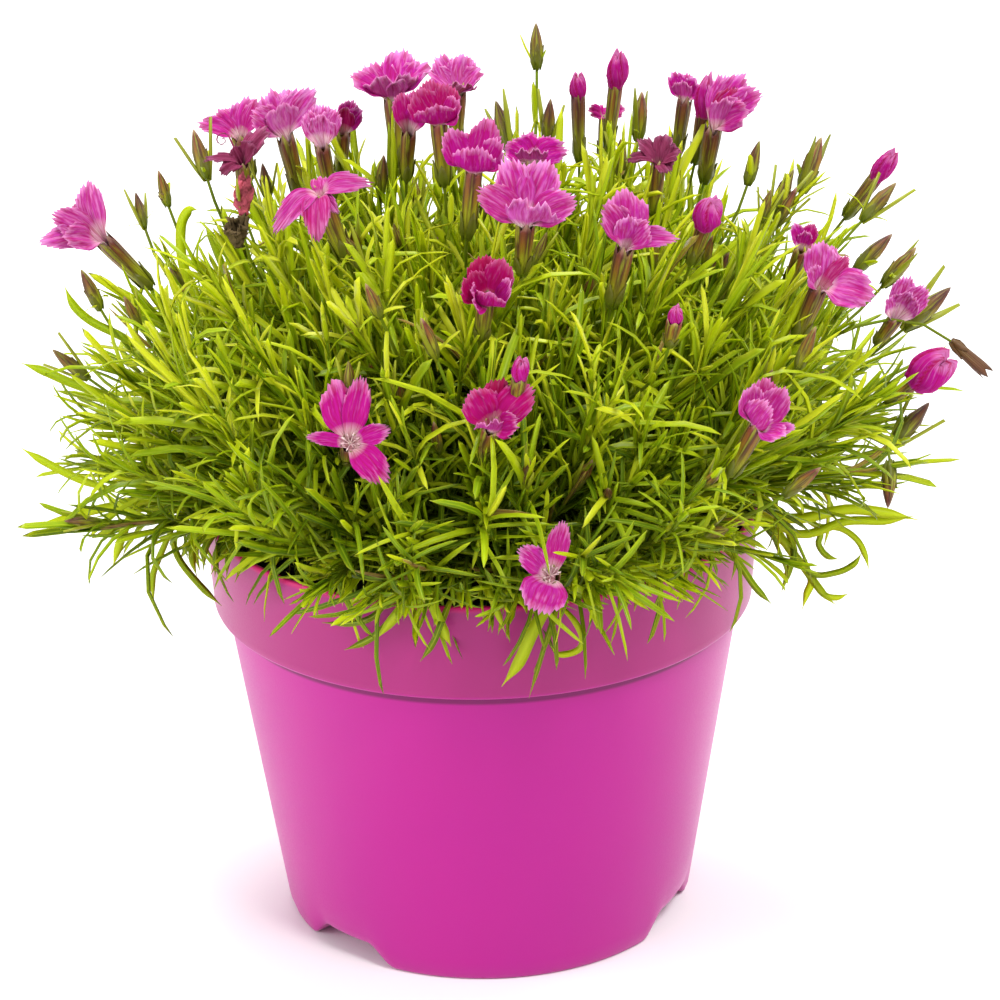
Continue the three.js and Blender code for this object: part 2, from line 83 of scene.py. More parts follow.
# One entry a flower stalk, each with its heads: kind, tip, foot, then an open flower's width, or
# the width and length of petals that are still wrapped up. The tip is the calyx's mouth, or the
# point of a bud.
STALKS = [
    [("fan", (-87, 19, 161), (-77, 23, 148), 17), ("bud", (-91, 0, 161), (-87, 0, 151)),
        ("bud", (-80, -16, 160), (-77, -14, 152)), ("bud", (-100, 12, 137), (-92, 11, 130))],
    [("bud", (-66, 32, 184), (-63, 28, 173)), ("bud", (-74, 23, 177), (-72, 23, 168)),
        ("bud", (-81, 40, 166), (-79, 37, 158))],
    [("flat", (-56, 45, 178), (-54, 48, 166), 18), ("wilted", (-54, 17, 180), (-54, 19, 169), 12),
        ("dried", (-52, -8, 185), (-53, -6, 176)), ("bud", (-50, 30, 176), (-49, 30, 167))],
    [("fan", (-44, 24, 184), (-41, 26, 168), 19), ("half", (-35, 8, 187), (-33, 12, 173), 9),
        ("half", (-31, 34, 182), (-32, 37, 170), 8), ("bud", (-21, 13, 183), (-22, 14, 173))],
    [("drooping", (-34, -28, 187), (-29, -23, 170), 21), ("bud", (-24, -55, 176),
        (-21, -52, 167))],
    [("flat", (-19, 27, 192), (-18, 26, 176), 22), ("cup", (-8, -3, 196), (-7, -1, 180), 14),
        ("half", (-15, 8, 190), (-16, 12, 177), 9), ("flat", (-4, 58, 184), (-5, 60, 168), 16)],
    [("cup", (0, -23, 191), (-2, -21, 174), 16), ("bud", (5, 34, 189), (8, 29, 178))],
    [("fan", (13, 5, 183), (12, 7, 169), 17), ("bud", (15, 57, 201), (15, 55, 190)),
        ("bud", (18, 38, 188), (17, 37, 177)), ("full", (11, -43, 185), (10, -36, 171), 23)],
    [("shut", (25, 62, 181), (25, 60, 165), 4.2, 5), ("shut", (34, 59, 185), (32, 59, 169),
        5.4, 7.2), ("bud", (40, 52, 185), (39, 51, 173)), ("wilted", (42, 6, 182), (41, 7, 169),
        8), ("bud", (34, 25, 182), (34, 26, 172)), ("half", (32, 70, 173), (31, 68, 163), 10)],
    [("half", (50, 48, 184), (48, 48, 170), 9), ("fan", (56, 31, 182), (54, 34, 168), 18),
        ("bud", (67, 34, 178), (64, 31, 168)), ("shut", (54, 38, 184), (52, 39, 171), 5.6, 8.5)],
    [("shut", (51, -28, 179), (48, -24, 168), 6.6, 6.6), ("bud", (67, -8, 180), (65, -7, 172)),
        ("bud", (74, 18, 176), (69, 14, 167)), ("bud", (82, 39, 177), (77, 34, 165))],
    [("shut", (95, 38, 167), (88, 41, 156), 4.8, 7.6), ("bud", (98, 19, 172), (90, 16, 164)),
        ("bud", (98, 26, 157), (89, 23, 149)), ("half", (97, 6, 143), (93, 8, 136), 9),
        ("bud", (105, 39, 149), (97, 37, 140)), ("bud", (111, 16, 147), (100, 13, 138))],
    [("full", (77, -24, 162), (72, -21, 148), 19), ("half", (75, 2, 162), (72, 6, 152), 7),
        ("bud", (75, -41, 159), (71, -41, 149))],
    [("shut", (101, -8, 133), (94, -6, 127), 9.4, 9), ("bud", (105, 1, 124), (96, -3, 115)),
        ("bud", (93, -27, 109), (94, -20, 118)), ("spent", (118, 2, 131), (110, 4, 138), 4)],
    [("cup", (61, -64, 145), (55, -59, 131), 12), ("bud", (75, -60, 133), (67, -59, 126))],
    [("drooping", (33, -38, 177), (30, -34, 162), 18), ("shut", (43, -57, 167), (42, -54, 160),
        3.4, 3.6)],
    [("cup", (2, -56, 172), (1, -51, 161), 12), ("bud", (-12, -61, 170), (-9, -59, 160)),
        ("full", (3, -73, 149), (1, -63, 139), 15), ("shut", (9, -72, 160), (8, -69, 153),
        3.8, 5.2)],
    [("full", (-28, -66, 143), (-29, -56, 135), 18), ("bud", (-28, -60, 160), (-28, -58, 151))],
    [("full", (15, -87, 120), (14, -78, 110), 16)],
    [("full", (46, 87, 130), (39, 75, 122), 18), ("bud", (62, 78, 118), (55, 70, 112)),
        ("bud", (30, 98, 122), (27, 90, 115))],
    [("full", (-12, 100, 127), (-11, 88, 117), 19), ("cup", (-34, 92, 134), (-30, 82, 124), 13),
        ("bud", (8, 104, 118), (7, 95, 112))],
    [("full", (-62, 80, 117), (-55, 71, 109), 18), ("bud", (-50, 88, 114), (-45, 80, 108)),
        ("bud", (-76, 64, 112), (-69, 58, 106))],
]
FRONT_STALKS = 19  # the others stand at the back
OWN_COROLLA = ("fan", "flat", "drooping", "cup", "full")  # kinds whose petals stand for a node

# The petals of the flowers on the plant's front, by the name of their piece: where a petal's tip
# stands from its calyx's mouth, as seen from the front a little above (to the right, up and
# nearer), then its width, and how far its colour goes to crimson.
PETALS = {
    "petals_01": ((-3.8, 14.6, 0, 6, 0.1), (-12, 6.8, 2, 6.5, 0.2), (-15.2, 0, 2, 5.5, 0),
        (-9, 0.8, 6, 6.5, 0.2), (-7.2, 9.8, -5, 7, 0.3)),
    "petals_02": ((-9.8, 2.9, 2, 5.5, 0.2), (-5.5, 6.2, -3, 6, 0.3), (-1.5, 7.6, -6, 6.5, 0.1),
        (2.6, 9.5, -3, 6.5, 0.1), (5, 8.1, 2, 6, 0.3)),
    "petals_03": ((-7.7, 6.1, 3, 7, 0.2), (-3.7, 11.2, -2, 7.5, 0), (0.2, 11.6, -5, 7, 0),
        (4.2, 11.2, 0, 7, 0), (7.2, 11, 3, 6.5, 0), (-0.5, 7.5, 5, 8, 0.3)),
    "petals_04": ((-10.9, -8.4, 3, 5, 0.2), (-0.9, -10.7, 5, 6, 0.45), (11.8, 2.2, 3, 4.4, 0.2),
        (-0.5, 4.5, -4, 3.5, 0.3), (4, -4.5, 3, 2.6, 0.2)),
    "petals_05": ((-9.8, 5.6, 1, 8, 0.2), (-5.5, 8.6, -5, 8, 0.1), (2.5, 12.3, -6, 8, 0),
        (8.5, 8.5, -2, 8, 0), (-2.5, 4.2, 7.5, 9.5, 0.3), (4.8, 5, 6, 8.5, 0.3)),
    "petals_06": ((-5, 7, 1, 7.5, 0.6), (-2.3, 9.7, -3, 7, 0.7), (1.8, 8.8, -3, 7, 0.7),
        (4.4, 4.8, 3, 6.5, 0.35), (-0.9, 3, 6, 9, 0.3)),
    "petals_07": ((5.8, 5, 2, 6.5, 0), (2, 9, -2, 7, 0), (-4.5, 9, -3, 6.5, 0),
        (-7, 5, 0, 6, 0.1), (2.2, 1, 5, 6.5, 0.3)),
    "petals_08": ((-5.6, 9.1, 1, 7, 0.2), (-2.8, 8.6, -4, 7, 0.4), (3.6, 11.8, -3, 6.5, 0.3),
        (5.8, 6.5, 2, 6.5, 0.15), (0.3, 4.6, 6, 9, 0.1)),
    "petals_09": ((-5.8, 4.5, -1, 6.5, 0.1), (-2.5, 6.4, -4, 7, 0.2), (2.5, 6.6, -4, 7, 0.2),
        (8.2, 3.4, -1, 6.5, 0.1), (0, 2.5, 5, 7, 0.2)),
    "petals_10": ((-3.9, 14.7, -2, 7.5, 0), (5.3, 14, -2, 8.5, 0), (-10.3, 7.4, 3, 7, 0.3),
        (11.4, 5, 3, 7.5, 0.1), (2.2, 3.7, 8.5, 11.5, 0)),
    "petals_11": ((3.6, 13, -2, 6.5, 0), (7.6, 13, -1, 6.5, 0), (11.3, 8.6, 1, 7, 0.1),
        (8, 4.4, 6, 7.5, 0.2), (3.4, 6.5, 6, 6, 0.2), (5.5, 9.6, 1, 5.5, 0.8)),
    "petals_12": ((0.6, 10.4, -1, 7, 0), (3.5, 9.5, -4, 5.5, 0.1), (6.8, 6.8, 0, 3.6, 0.6),
        (12, -2.6, 4, 9, 0.1), (-2, 4.5, 4, 4.5, 0.1)),
    "petals_13": ((-1.5, 8.5, 2, 6, 0.1), (2.4, 10.2, -2, 6.5, 0.4), (6.1, 7.8, 0, 6, 0.2),
        (7.8, -1, 3, 3.2, 0), (5.2, -2.8, 5, 5, 0), (2, 5, 5, 6.5, 0.1)),
    "petals_14": ((0, 13.2, -2, 9, 0.1), (-4.5, 9.5, 3, 6.5, 0.3), (11.9, 1.5, 3, 4.4, 0.1),
        (5.2, 5.2, 4, 6.5, 0.2), (0.5, 6.8, 4, 5.5, 0)),
    "petals_15": ((0, 9.8, 0, 7, 0.9), (4.3, 8.7, 2, 6.5, 0.7), (-3.6, 5.6, 3, 7, 0.8),
        (-2.8, 1.8, 6, 6, 0.4), (1.4, 1.2, 7, 6.5, 0.4), (5.6, 3.9, 5, 4.5, 0.2)),
    "petals_16": ((-4.2, 8.2, 2, 8, 0.6), (2.2, 10.7, -2, 7, 0.9), (8.8, 9, 1, 7, 0.6),
        (-0.6, 1, 6, 6, 0.4), (5.6, 0.8, 5, 5.5, 0.4)),
    "petals_17": ((-3.4, 14.2, -2, 8.4, 0.3), (2.9, 14.8, 0, 5.4, 0.3), (-9.4, 1.6, 3, 2.8, 0.2),
        (9, 3, 4, 4.2, 0.2), (8.2, -9, 5, 6.4, 0.34)),
    "petals_18": ((3, 11.8, 0, 4.6, 0.3), (-6.8, 6.2, 2, 5.2, 0.1), (-3.4, -8, 5, 9.5, 0.1)),
    "closed_petals_04_1": ((-3.2, 8, 0, 5, 0.1), (0, 10, -2, 6, 0), (3.5, 8.5, 0, 5, 0.1),
        (0, 7, 3, 6, 0.1)),
    "closed_petals_04_2": ((2.5, 7.5, 0, 5, 0.1), (4.5, 5.2, 1, 4.2, 0), (1, 5.5, 3, 4.2, 0.6)),
    "closed_petals_06_2": ((-1.8, 9, 1, 5, 0.5), (1.5, 9.5, -1, 5, 0.3), (3.5, 7, 2, 5, 0.2)),
    "closed_petals_09_5": ((-4.5, 1.5, 2, 4.5, 0.3), (4.5, 1.5, 2, 4.5, 0.3), (0, 3, -3, 5, 0.2)),
    "closed_petals_10_0": ((-3, 6.5, 1, 5, 0), (0.5, 6.5, -2, 5, 0.1), (2.5, 5, 2, 5, 0),
        (-1, 4, 4, 4.5, 0.3)),
    "closed_petals_12_3": ((-0.8, 5.5, 2, 5, 0), (3.5, 10, -1, 6, 0), (7.8, 7.2, 1, 5.5, 0),
        (4, 5.5, 4, 6, 0)),
    "closed_petals_03_1": ((-8.8, 0.8, 2, 2.2, 0.3), (-5, -2.4, 3, 4.2, 0.5),
        (6.4, 8, 1, 5.2, 0.1), (2.6, 5, 3, 4.6, 0.6), (-1.4, 4.4, 0, 4, 0.8)),
    "closed_petals_09_3": ((-7.4, 0.6, 2, 3, 0.5), (-4.6, 5.4, 0, 3.8, 0.3),
        (2.2, 6.6, 1, 4.6, 0.2), (5.4, 2.4, 3, 4.2, 0.5), (2.6, -2.6, 3, 4, 0.4)),
    "closed_petals_13_1": ((-2, 6, 1, 3.2, 0), (2.8, 5.8, 0, 3.6, 0.5), (1, 4, 2, 3.2, 0.2)),
}

# Long leaves that hang over the rim or stand out of the mound: each one's width, its shade from
# dark to bright, and the points that it runs through.
LONG_LEAVES = [
    (2.8, 0.8, (20, -58, 106), (15, -67, 105), (11, -70, 99), (8, -70, 92), (4, -70, 86)),
    (1.1, 0.2, (19, -58, 107), (17, -66, 105), (14, -70, 97), (12, -70, 90), (10, -70, 83)),
    (1.5, 0.75, (16, -64, 104), (20, -70, 102), (22, -71, 98), (21, -71, 95), (17, -71, 94),
        (15, -71, 96)),
    (2.3, 0.8, (-11, -58, 110), (-15, -65, 107), (-19, -66, 102), (-24, -64, 95)),
    (2.2, 0.8, (-13, -60, 107), (-11, -67, 105), (-9, -68, 100), (-7, -68, 95)),
    (1.6, 0.85, (-2, -60, 109), (1, -68, 109), (3, -70, 105), (5, -70, 99)),
    (1.5, 0.15, (-20, -61, 105), (-24, -64, 101), (-29, -61, 98), (-36, -56, 96)),
    (1.6, 0.3, (-16, -62, 104), (-22, -64, 98), (-26, -62, 94), (-31, -60, 91)),
    (1.5, 0.2, (-6, -62, 106), (-9, -68, 101), (-11, -68, 96), (-14, -67, 91)),
    (1.6, 0.3, (51, -33, 106), (57, -36, 102), (62, -38, 95), (66, -37, 90)),
    (1.9, 0.85, (60, -4, 107), (68, -6, 97), (72, -8, 91), (77, -8, 84), (76, -9, 80),
        (75, -9, 76)),
    (1.9, 0.85, (60, -4, 106), (68, -7, 96), (73, -8, 90), (77, -8, 84), (80, -9, 80),
        (83, -9, 77)),
    (1.5, 0.8, (74, -8, 88), (77, -8, 84), (80, -9, 80), (83, -9, 79), (86, -9, 80)),
    (1.5, 0.7, (72, -3, 101), (78, -5, 96), (84, -5, 95), (88, -5, 92), (90, -5, 88),
        (91, -5, 84)),
    (1.5, 0.3, (71, -7, 92), (77, -8, 85), (83, -8, 85), (87, -8, 87), (89, -8, 90)),
    (1.5, 0.35, (72, -3, 101), (79, -5, 95), (79, -5, 91), (81, -5, 88), (84, -5, 87)),
    (1.7, 0.15, (70, -5, 99), (73, -8, 91), (72, -9, 87), (70, -10, 81)),
    (2.5, 0.9, (60, -6, 104), (72, -8, 99), (85, -8, 101), (94, -8, 100), (102, -8, 98)),
    (2.1, 0.75, (62, -6, 102), (74, -8, 95), (85, -8, 98), (94, -8, 98), (101, -8, 99)),
    (2.1, 0.6, (-80, -10, 130), (-87, -10, 134), (-94, -10, 137), (-100, -10, 140),
        (-105, -10, 142)),
    (2, 0.55, (-74, 0, 138), (-82, 0, 144), (-89, 0, 148), (-93, 0, 152), (-95, 0, 157)),
    (2.4, 0.8, (-62, 20, 134), (-66, 20, 146), (-69, 20, 155), (-69, 20, 164), (-67, 20, 168),
        (-65, 20, 168)),
    (1.9, 0.75, (-84, -20, 114), (-92, -20, 117), (-99, -20, 121), (-105, -20, 125)),
    (2.1, 0.85, (-72, -24, 114), (-80, -25, 113), (-90, -25, 111), (-96, -25, 109),
        (-102, -25, 108)),
    (2, 0.8, (-74, -20, 113), (-80, -22, 109), (-83, -24, 103), (-85, -25, 97)),
    (1.5, 0.5, (-70, -20, 107), (-74, -22, 99), (-76, -24, 94), (-76, -25, 88)),
    (1.6, 0.1, (-72, -20, 106), (-70, -24, 99), (-65, -27, 93), (-60, -30, 89)),
    (1.7, 0.35, (-42, -14, 110), (-52, -20, 110), (-60, -25, 107), (-66, -28, 102)),
    (1.5, 0.2, (-40, -22, 108), (-50, -28, 108), (-58, -33, 105), (-62, -36, 99)),
    (1.7, 0.55, (-46, -8, 111), (-55, -14, 111), (-63, -20, 108), (-70, -24, 104)),
    (1.6, 0.15, (-38, -26, 107), (-46, -33, 107), (-53, -39, 105), (-56, -42, 100)),
    (1.5, 0.4, (-44, -18, 108), (-53, -24, 106.5), (-59, -30, 104.5), (-60, -35, 103)),
    (1.6, 0.6, (-36, -30, 108), (-44, -36, 108), (-50, -41, 106), (-55, -43, 103)),
    (1.5, 0.3, (-44, -10, 106), (-52, -14, 107), (-59, -19, 106), (-64, -27, 105)),
    (1.7, 0.45, (-53, -8, 108), (-61, -10, 108), (-67, -13, 103), (-68, -16, 97)),
    (1.8, 0.3, (-52, -12, 108), (-60, -15, 108), (-66, -18, 103), (-67, -20, 97), (-66, -22, 93)),
    (1.8, 0.15, (-50, -18, 108), (-57, -22, 108), (-63, -26, 103), (-64, -28, 97)),
    (1.6, 0.4, (-50, -15, 109), (-58, -19, 109), (-64, -23, 105), (-67, -27, 100)),
    (1.8, 0.1, (-48, -24, 108), (-54, -28, 108), (-60, -32, 104), (-61, -34, 98)),
    (1.6, 0.1, (-46, -27, 107), (-52, -32, 108), (-57, -36, 105), (-58, -39, 100)),
    (1.7, 0.5, (-58, 10, 138), (-60, 10, 144), (-61, 10, 149), (-63, 10, 154), (-63, 10, 157)),
    (1.5, 0.75, (-64, 5, 142), (-62, 5, 147), (-61, 5, 151), (-58, 5, 155)),
]


def lerp(a, b, t):
    return a + (b - a) * t


def smoothstep(low, high, x):
    t = min(max((x - low) / (high - low), 0.0), 1.0)
    return t * t * (3 - 2 * t)


def heading(tilt, azimuth):
    """A direction from its angle to the vertical and its azimuth, which runs from +X to +Y."""
    t, a = radians(tilt), radians(azimuth)
    return Vector((sin(t) * cos(a), sin(t) * sin(a), cos(t)))


def seen_from_front(right, up, near):
    """A way given as it looks from the front, a little above."""
    s, c = sin(FRONT_TILT), cos(FRONT_TILT)
    return Vector((right, up * s - near * c, up * c + near * s))


SIGHT = seen_from_front(0, 0, 1)  # the way from the plant to the eye


# ------------------------------------------------------------------ meshes

def put(name, data):
    """Puts an object that holds this data into the scene."""
    thing = bpy.data.objects.new(name, data)
    bpy.context.scene.collection.objects.link(thing)
    return thing


def shape_set(name, shapes):
    """Moves shapes into a collection, for a tree to draw from."""
    drawer = bpy.data.collections.new(name)
    bpy.context.scene.collection.children.link(drawer)
    for shape in shapes:
        bpy.context.scene.collection.objects.unlink(shape)
        drawer.objects.link(shape)
    return drawer


def row_of(data, field, width=1, kind=np.float32):
    """One field of every element of a mesh, as one row of numbers."""
    row = np.empty(len(data) * width, kind)
    data.foreach_get(field, row)
    return row


def give_points(mesh, name, values, kind="FLOAT", field="value"):
    mesh.attributes.new(name, kind, "POINT").data.foreach_set(field, values)


class Mould:
    """Collects the surfaces of one piece, in millimetres, and casts them as an object."""

    def __init__(self):
        self.verts, self.faces, self.skins, self.uv, self.marks = [], [], [], [], {}

    def add(self, verts, faces, skin=0, uv=None, **marks):
        """Adds a surface. marks are numbers a vertex carries for its material, one or a list."""
        start = len(self.verts)
        self.verts += [tuple(v) for v in verts]
        self.faces += [tuple(start + i for i in face) for face in faces]
        self.skins += [skin] * len(faces)
        self.uv += uv or [(0.5, 0.5)] * len(verts)
        for name, value in marks.items():
            line = self.marks.setdefault(name, [0.0] * start)
            line += [0.0] * (start - len(line))
            line += list(value) if hasattr(value, "__len__") else [float(value)] * len(verts)

    def cast(self, name, materials, scale=MM):
        mesh = bpy.data.meshes.new(name)
        mesh.from_pydata([[c * scale for c in v] for v in self.verts], [], self.faces)
        for material in materials:
            mesh.materials.append(material)
        mesh.polygons.foreach_set("material_index", self.skins)
        mesh.polygons.foreach_set("use_smooth", [True] * len(mesh.polygons))
        corner = row_of(mesh.loops, "vertex_index", kind=np.int32)
        layer = mesh.uv_layers.new(name="OFBake")
        layer.uv.foreach_set("vector", np.array(self.uv, np.float32)[corner].ravel())
        for mark, line in self.marks.items():
            give_points(mesh, mark, line + [0.0] * (len(self.verts) - len(line)))
        mesh.update()
        return put(name, mesh)


def grid_faces(rows, columns, closed=False, flip=False):
    """Faces between rows of points, whose ends meet if closed."""
    faces = []
    for r in range(rows - 1):
        for c in range(columns if closed else columns - 1):
            d = (c + 1) % columns
            faces.append((r * columns + c, r * columns + d,
                          (r + 1) * columns + d, (r + 1) * columns + c))
    return [face[::-1] for face in faces] if flip else faces


def tube_faces(rows, steps, flip=False):
    """Faces round rows of points, and a cap on either end."""
    last = (rows - 1) * steps
    caps = [tuple(range(steps))[::-1], tuple(range(last, last + steps))]
    return grid_faces(rows, steps, True, flip) + [cap[::-1] if flip else cap for cap in caps]


def ring_points(profile, steps, lobes=lambda k, a: (0, 1)):
    """Rings of points up a profile of heights and radii. lobes gives, for the ring and the
    angle, how far a point is lifted and how much its radius swells."""
    verts = []
    for k, (z, r) in enumerate(profile):
        for i in range(steps):
            a = 2 * pi * i / steps
            lift, swell = lobes(k, a)
            verts.append((r * swell * cos(a), r * swell * sin(a), z + lift))
    return verts


def settled(piece, *nodes, slot):
    """Hands a finished piece to the frame: it rides on the plant's one body."""
    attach(piece, "root")
    if nodes:
        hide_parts(*nodes)
    return piece


# ------------------------------------------------------------------ node trees

class Nodes:
    """A node tree, with short ways to add what the trees of this plant are made of."""

    def __init__(self, tree):
        self.tree = tree

    def link(self, value, socket):
        """Joins an output to an input, or gives the input a plain value."""
        if isinstance(value, bpy.types.NodeSocket):
            self.tree.links.new(value, socket)
        else:
            socket.default_value = (*value, 1) if socket.type == "RGBA" else value

    def add(self, kind, links=None, output=0, **settings):
        """Adds a node and returns one of its outputs. links gives each input, by its name or
        number, an output or a value."""
        node = self.tree.nodes.new(kind)
        for name, value in settings.items():
            setattr(node, name, value)
        for name, value in (links or {}).items():
            self.link(value, node.inputs[name])
        return node.outputs[output]

    def maths(self, operation, *values):
        return self.add("ShaderNodeMath", dict(enumerate(values)), operation=operation)

    def times(self, first, *others):
        """The product of the values."""
        for other in others:
            first = self.maths("MULTIPLY", first, other)
        return first

    def spread(self, value, low, high, start, end):
        """Goes from start to end while the value goes from low to high, and stays there."""
        return self.add("ShaderNodeMapRange", dict(enumerate((value, low, high, start, end))))

    def vector(self, *values):
        return self.add("ShaderNodeCombineXYZ", dict(enumerate(values)))

    def xyz(self, vector):
        return self.add("ShaderNodeSeparateXYZ", {0: vector}).node.outputs

    def noise(self, place, scale=1.0, detail=2.0, distortion=0.0):
        return self.add("ShaderNodeTexNoise", {
            "Vector": place, "Scale": scale, "Detail": detail, "Distortion": distortion})

    def mix(self, factor, a, b):
        """Mixes two colours."""
        return self.add("ShaderNodeMix", {0: factor, 6: a, 7: b}, 2, data_type="RGBA")

    # of geometry

    def read(self, name, kind="FLOAT"):
        """What the points carry under this name."""
        return self.add("GeometryNodeInputNamedAttribute", {0: name}, data_type=kind)

    def drawn(self, points, shapes, chosen, rotation, scale, **more):
        """Sets shapes of a collection on points, each point the one that is chosen for it."""
        kinds = self.add("GeometryNodeCollectionInfo", {
            "Collection": shapes, "Separate Children": True, "Reset Children": True})
        return self.add("GeometryNodeInstanceOnPoints", {
            "Points": points, "Instance": kinds, "Pick Instance": True, "Instance Index": chosen,
            "Rotation": rotation, "Scale": scale, **more})

    def stored(self, instances, name, value):
        """Lets each instance carry a number."""
        return self.add("GeometryNodeStoreNamedAttribute", {
            0: instances, "Name": name, "Value": value}, data_type="FLOAT", domain="INSTANCE")

    def joined(self, *parts):
        node = self.tree.nodes.new("GeometryNodeJoinGeometry")
        for part in parts:
            self.tree.links.new(part, node.inputs[0])
        return node.outputs[0]

    def solid(self, instances, material):
        """Makes instances real, of this material."""
        real = self.add("GeometryNodeRealizeInstances", {0: instances})
        return self.add("GeometryNodeSetMaterial", {0: real, "Material": material})


def group(name, kind, outputs, **inputs):
    """A node group. Each of its sockets has a number to start from, or says its kind. Returns
    its nodes, what it is given and where its results go."""
    tree = bpy.data.node_groups.new(name, kind)
    for side, sockets in (("INPUT", inputs), ("OUTPUT", outputs)):
        for label, value in sockets.items():
            socket = tree.interface.new_socket(
                label.replace("_", " ").title(), in_out=side,
                socket_type="NodeSocket" + {float: "Float", int: "Int"}.get(type(value), value))
            if not isinstance(value, str):
                socket.default_value = value
    given, results = tree.nodes.new("NodeGroupInput"), tree.nodes.new("NodeGroupOutput")
    return Nodes(tree), given.outputs, results.inputs


def grown(piece, tree, **values):
    """The piece's mesh after the tree has worked on it, as a plain mesh object."""
    modifier = piece.modifiers.new(tree.name, "NODES")
    modifier.node_group = tree
    for socket in tree.interface.items_tree:
        key = socket.name.lower().replace(" ", "_")
        if socket.in_out == "INPUT" and key in values:
            modifier[socket.identifier] = values[key]
    depsgraph = bpy.context.evaluated_depsgraph_get()
    mesh = bpy.data.meshes.new_from_object(piece.evaluated_get(depsgraph))
    piece.modifiers.clear()
    piece.data = mesh
    mesh.name = piece.name
    return piece


# ------------------------------------------------------------------ materials

def mottle_group():
    """Soft uneven colour and a fine grain, from the place on the piece."""
    nodes, given, out = group(
        "Mottle", "ShaderNodeTree", dict(color="Color", grain="Float"), color="Color", dark="Color",
        patch_size=0.02, grain_size=0.001, amount=0.5)
    place = nodes.add("ShaderNodeTexCoord", output="Object")
    patch = nodes.noise(place, nodes.maths("DIVIDE", 1.0, given["Patch Size"]), 3.0)
    grain = nodes.noise(place, nodes.maths("DIVIDE", 1.0, given["Grain Size"]), 2.0)
    darker = nodes.spread(patch, 0.35, 0.65, 0.0, given["Amount"])
    nodes.link(nodes.mix(darker, given["Color"], given["Dark"]), out["Color"])
    nodes.link(grain, out["Grain"])
    return nodes.tree


MOTTLE = mottle_group()


class Finish(Nodes):
    """A material, as the nodes that lead to its Principled shader."""

    def __init__(self, name, roughness, **constants):
        self.material = bpy.data.materials.new(name)
        self.material.use_nodes = True
        super().__init__(self.material.node_tree)
        self.set(roughness=roughness, **constants)

    def set(self, **sockets):
        """Gives sockets of the shader a value, or joins an output to them."""
        shader = self.tree.nodes["Principled BSDF"]
        for label, value in sockets.items():
            label = label.replace("_", " ").title().replace("Ior", "IOR")
            self.link(value, shader.inputs[label])

    def marks(self, *names):
        """What the piece's vertices carry under these names."""
        return [self.add("ShaderNodeAttribute", output="Fac", attribute_name=name)
                for name in names]

    def place(self):
        return self.xyz(self.add("ShaderNodeTexCoord", output="Object"))

    def ramp(self, factor, *stops):
        output = self.add("ShaderNodeValToRGB", {0: factor})
        elements = output.node.color_ramp.elements
        while len(elements) < len(stops):
            elements.new(0.5)
        for element, (place, colour) in zip(elements, stops):
            element.position, element.color = place, (*colour, 1)
        return output

    def coats(self, colour, *coats):
        """Lays further colours over one, each as far as its factor says."""
        for factor, coat in coats:
            colour = self.mix(factor, colour, coat)
        return colour

    def mottled(self, colour, dark, patch, grain, amount):
        """A colour with soft dark patches, and a grain."""
        return self.add("ShaderNodeGroup", {
            "Color": colour, "Dark": dark, "Patch Size": patch, "Grain Size": grain,
            "Amount": amount}, node_tree=MOTTLE).node.outputs

    def bump(self, height, depth, strength):
        self.set(normal=self.add("ShaderNodeBump", {
            "Height": height, "Distance": depth, "Strength": strength}))


def plain_finish(name, roughness, skin, bumps=None, **constants):
    """A material that is mottled all over, and as rough as its bumps' depth and strength."""
    finish = Finish(name, roughness, **constants)
    colour, grain = finish.mottled(*skin)
    finish.set(base_color=colour)
    if bumps:
        finish.bump(grain, *bumps)
    return finish.material


def pot_plastic():
    """Moulded plastic with a satin grain: painted shade makes the collar duller and darker, a
    painted shadow lies just under its lip and a painted glow of light runs bright along the thin
    rim."""
    pot = Finish("pot_plastic", 0.36, subsurface_weight=0.05, subsurface_scale=0.002,
                 specular_ior_level=0.26, sheen_weight=0.23, sheen_roughness=0.40,
                 sheen_tint=(1.0, 0.78, 0.92))
    skin, grain = pot.mottled((0.435, 0.006, 0.235), (0.41, 0.0045, 0.235), 0.05, 0.0004, 0.6)
    height, seam, top = pot.place()[2], LIP_HEIGHT * MM, POT_HEIGHT * MM
    # painted shade: the collar above the lip is painted darker and duller, for the shade that the
    # foliage casts on it
    collar_shade = pot.spread(height, seam, seam + 0.001, 0.0, 0.8)
    # painted light: a bright band along the top of the thin rim, for light shining through the
    # plastic
    rim_glow = pot.spread(height, top - 0.0016, top - 0.0004, 0.0, 0.85)
    # painted shadow: a dark band just under the collar's lip, where the overhang would shade the
    # wall
    shade = pot.spread(height, seam - 0.0029, seam - 0.0022, 0.0, 0.75)
    lip_shadow = pot.times(shade, pot.maths("LESS_THAN", height, seam - 0.0001))
    # over the plastic's own colour go the painted collar shade, the painted rim glow and the
    # painted lip shadow
    pot.set(base_color=pot.coats(skin, (collar_shade, (0.33, 0.018, 0.140)), (rim_glow, (0.66, 0.004, 0.14)),
                                 (lip_shadow, (0.09, 0.002, 0.05))),
            roughness=pot.spread(grain, 0.3, 0.7, 0.34, 0.44))
    pot.bump(grain, 0.00004, 0.35)
    return pot.material


LEAF_SHADES = 24  # leaves differ in this many shades, each a strip of the leaf's UV map


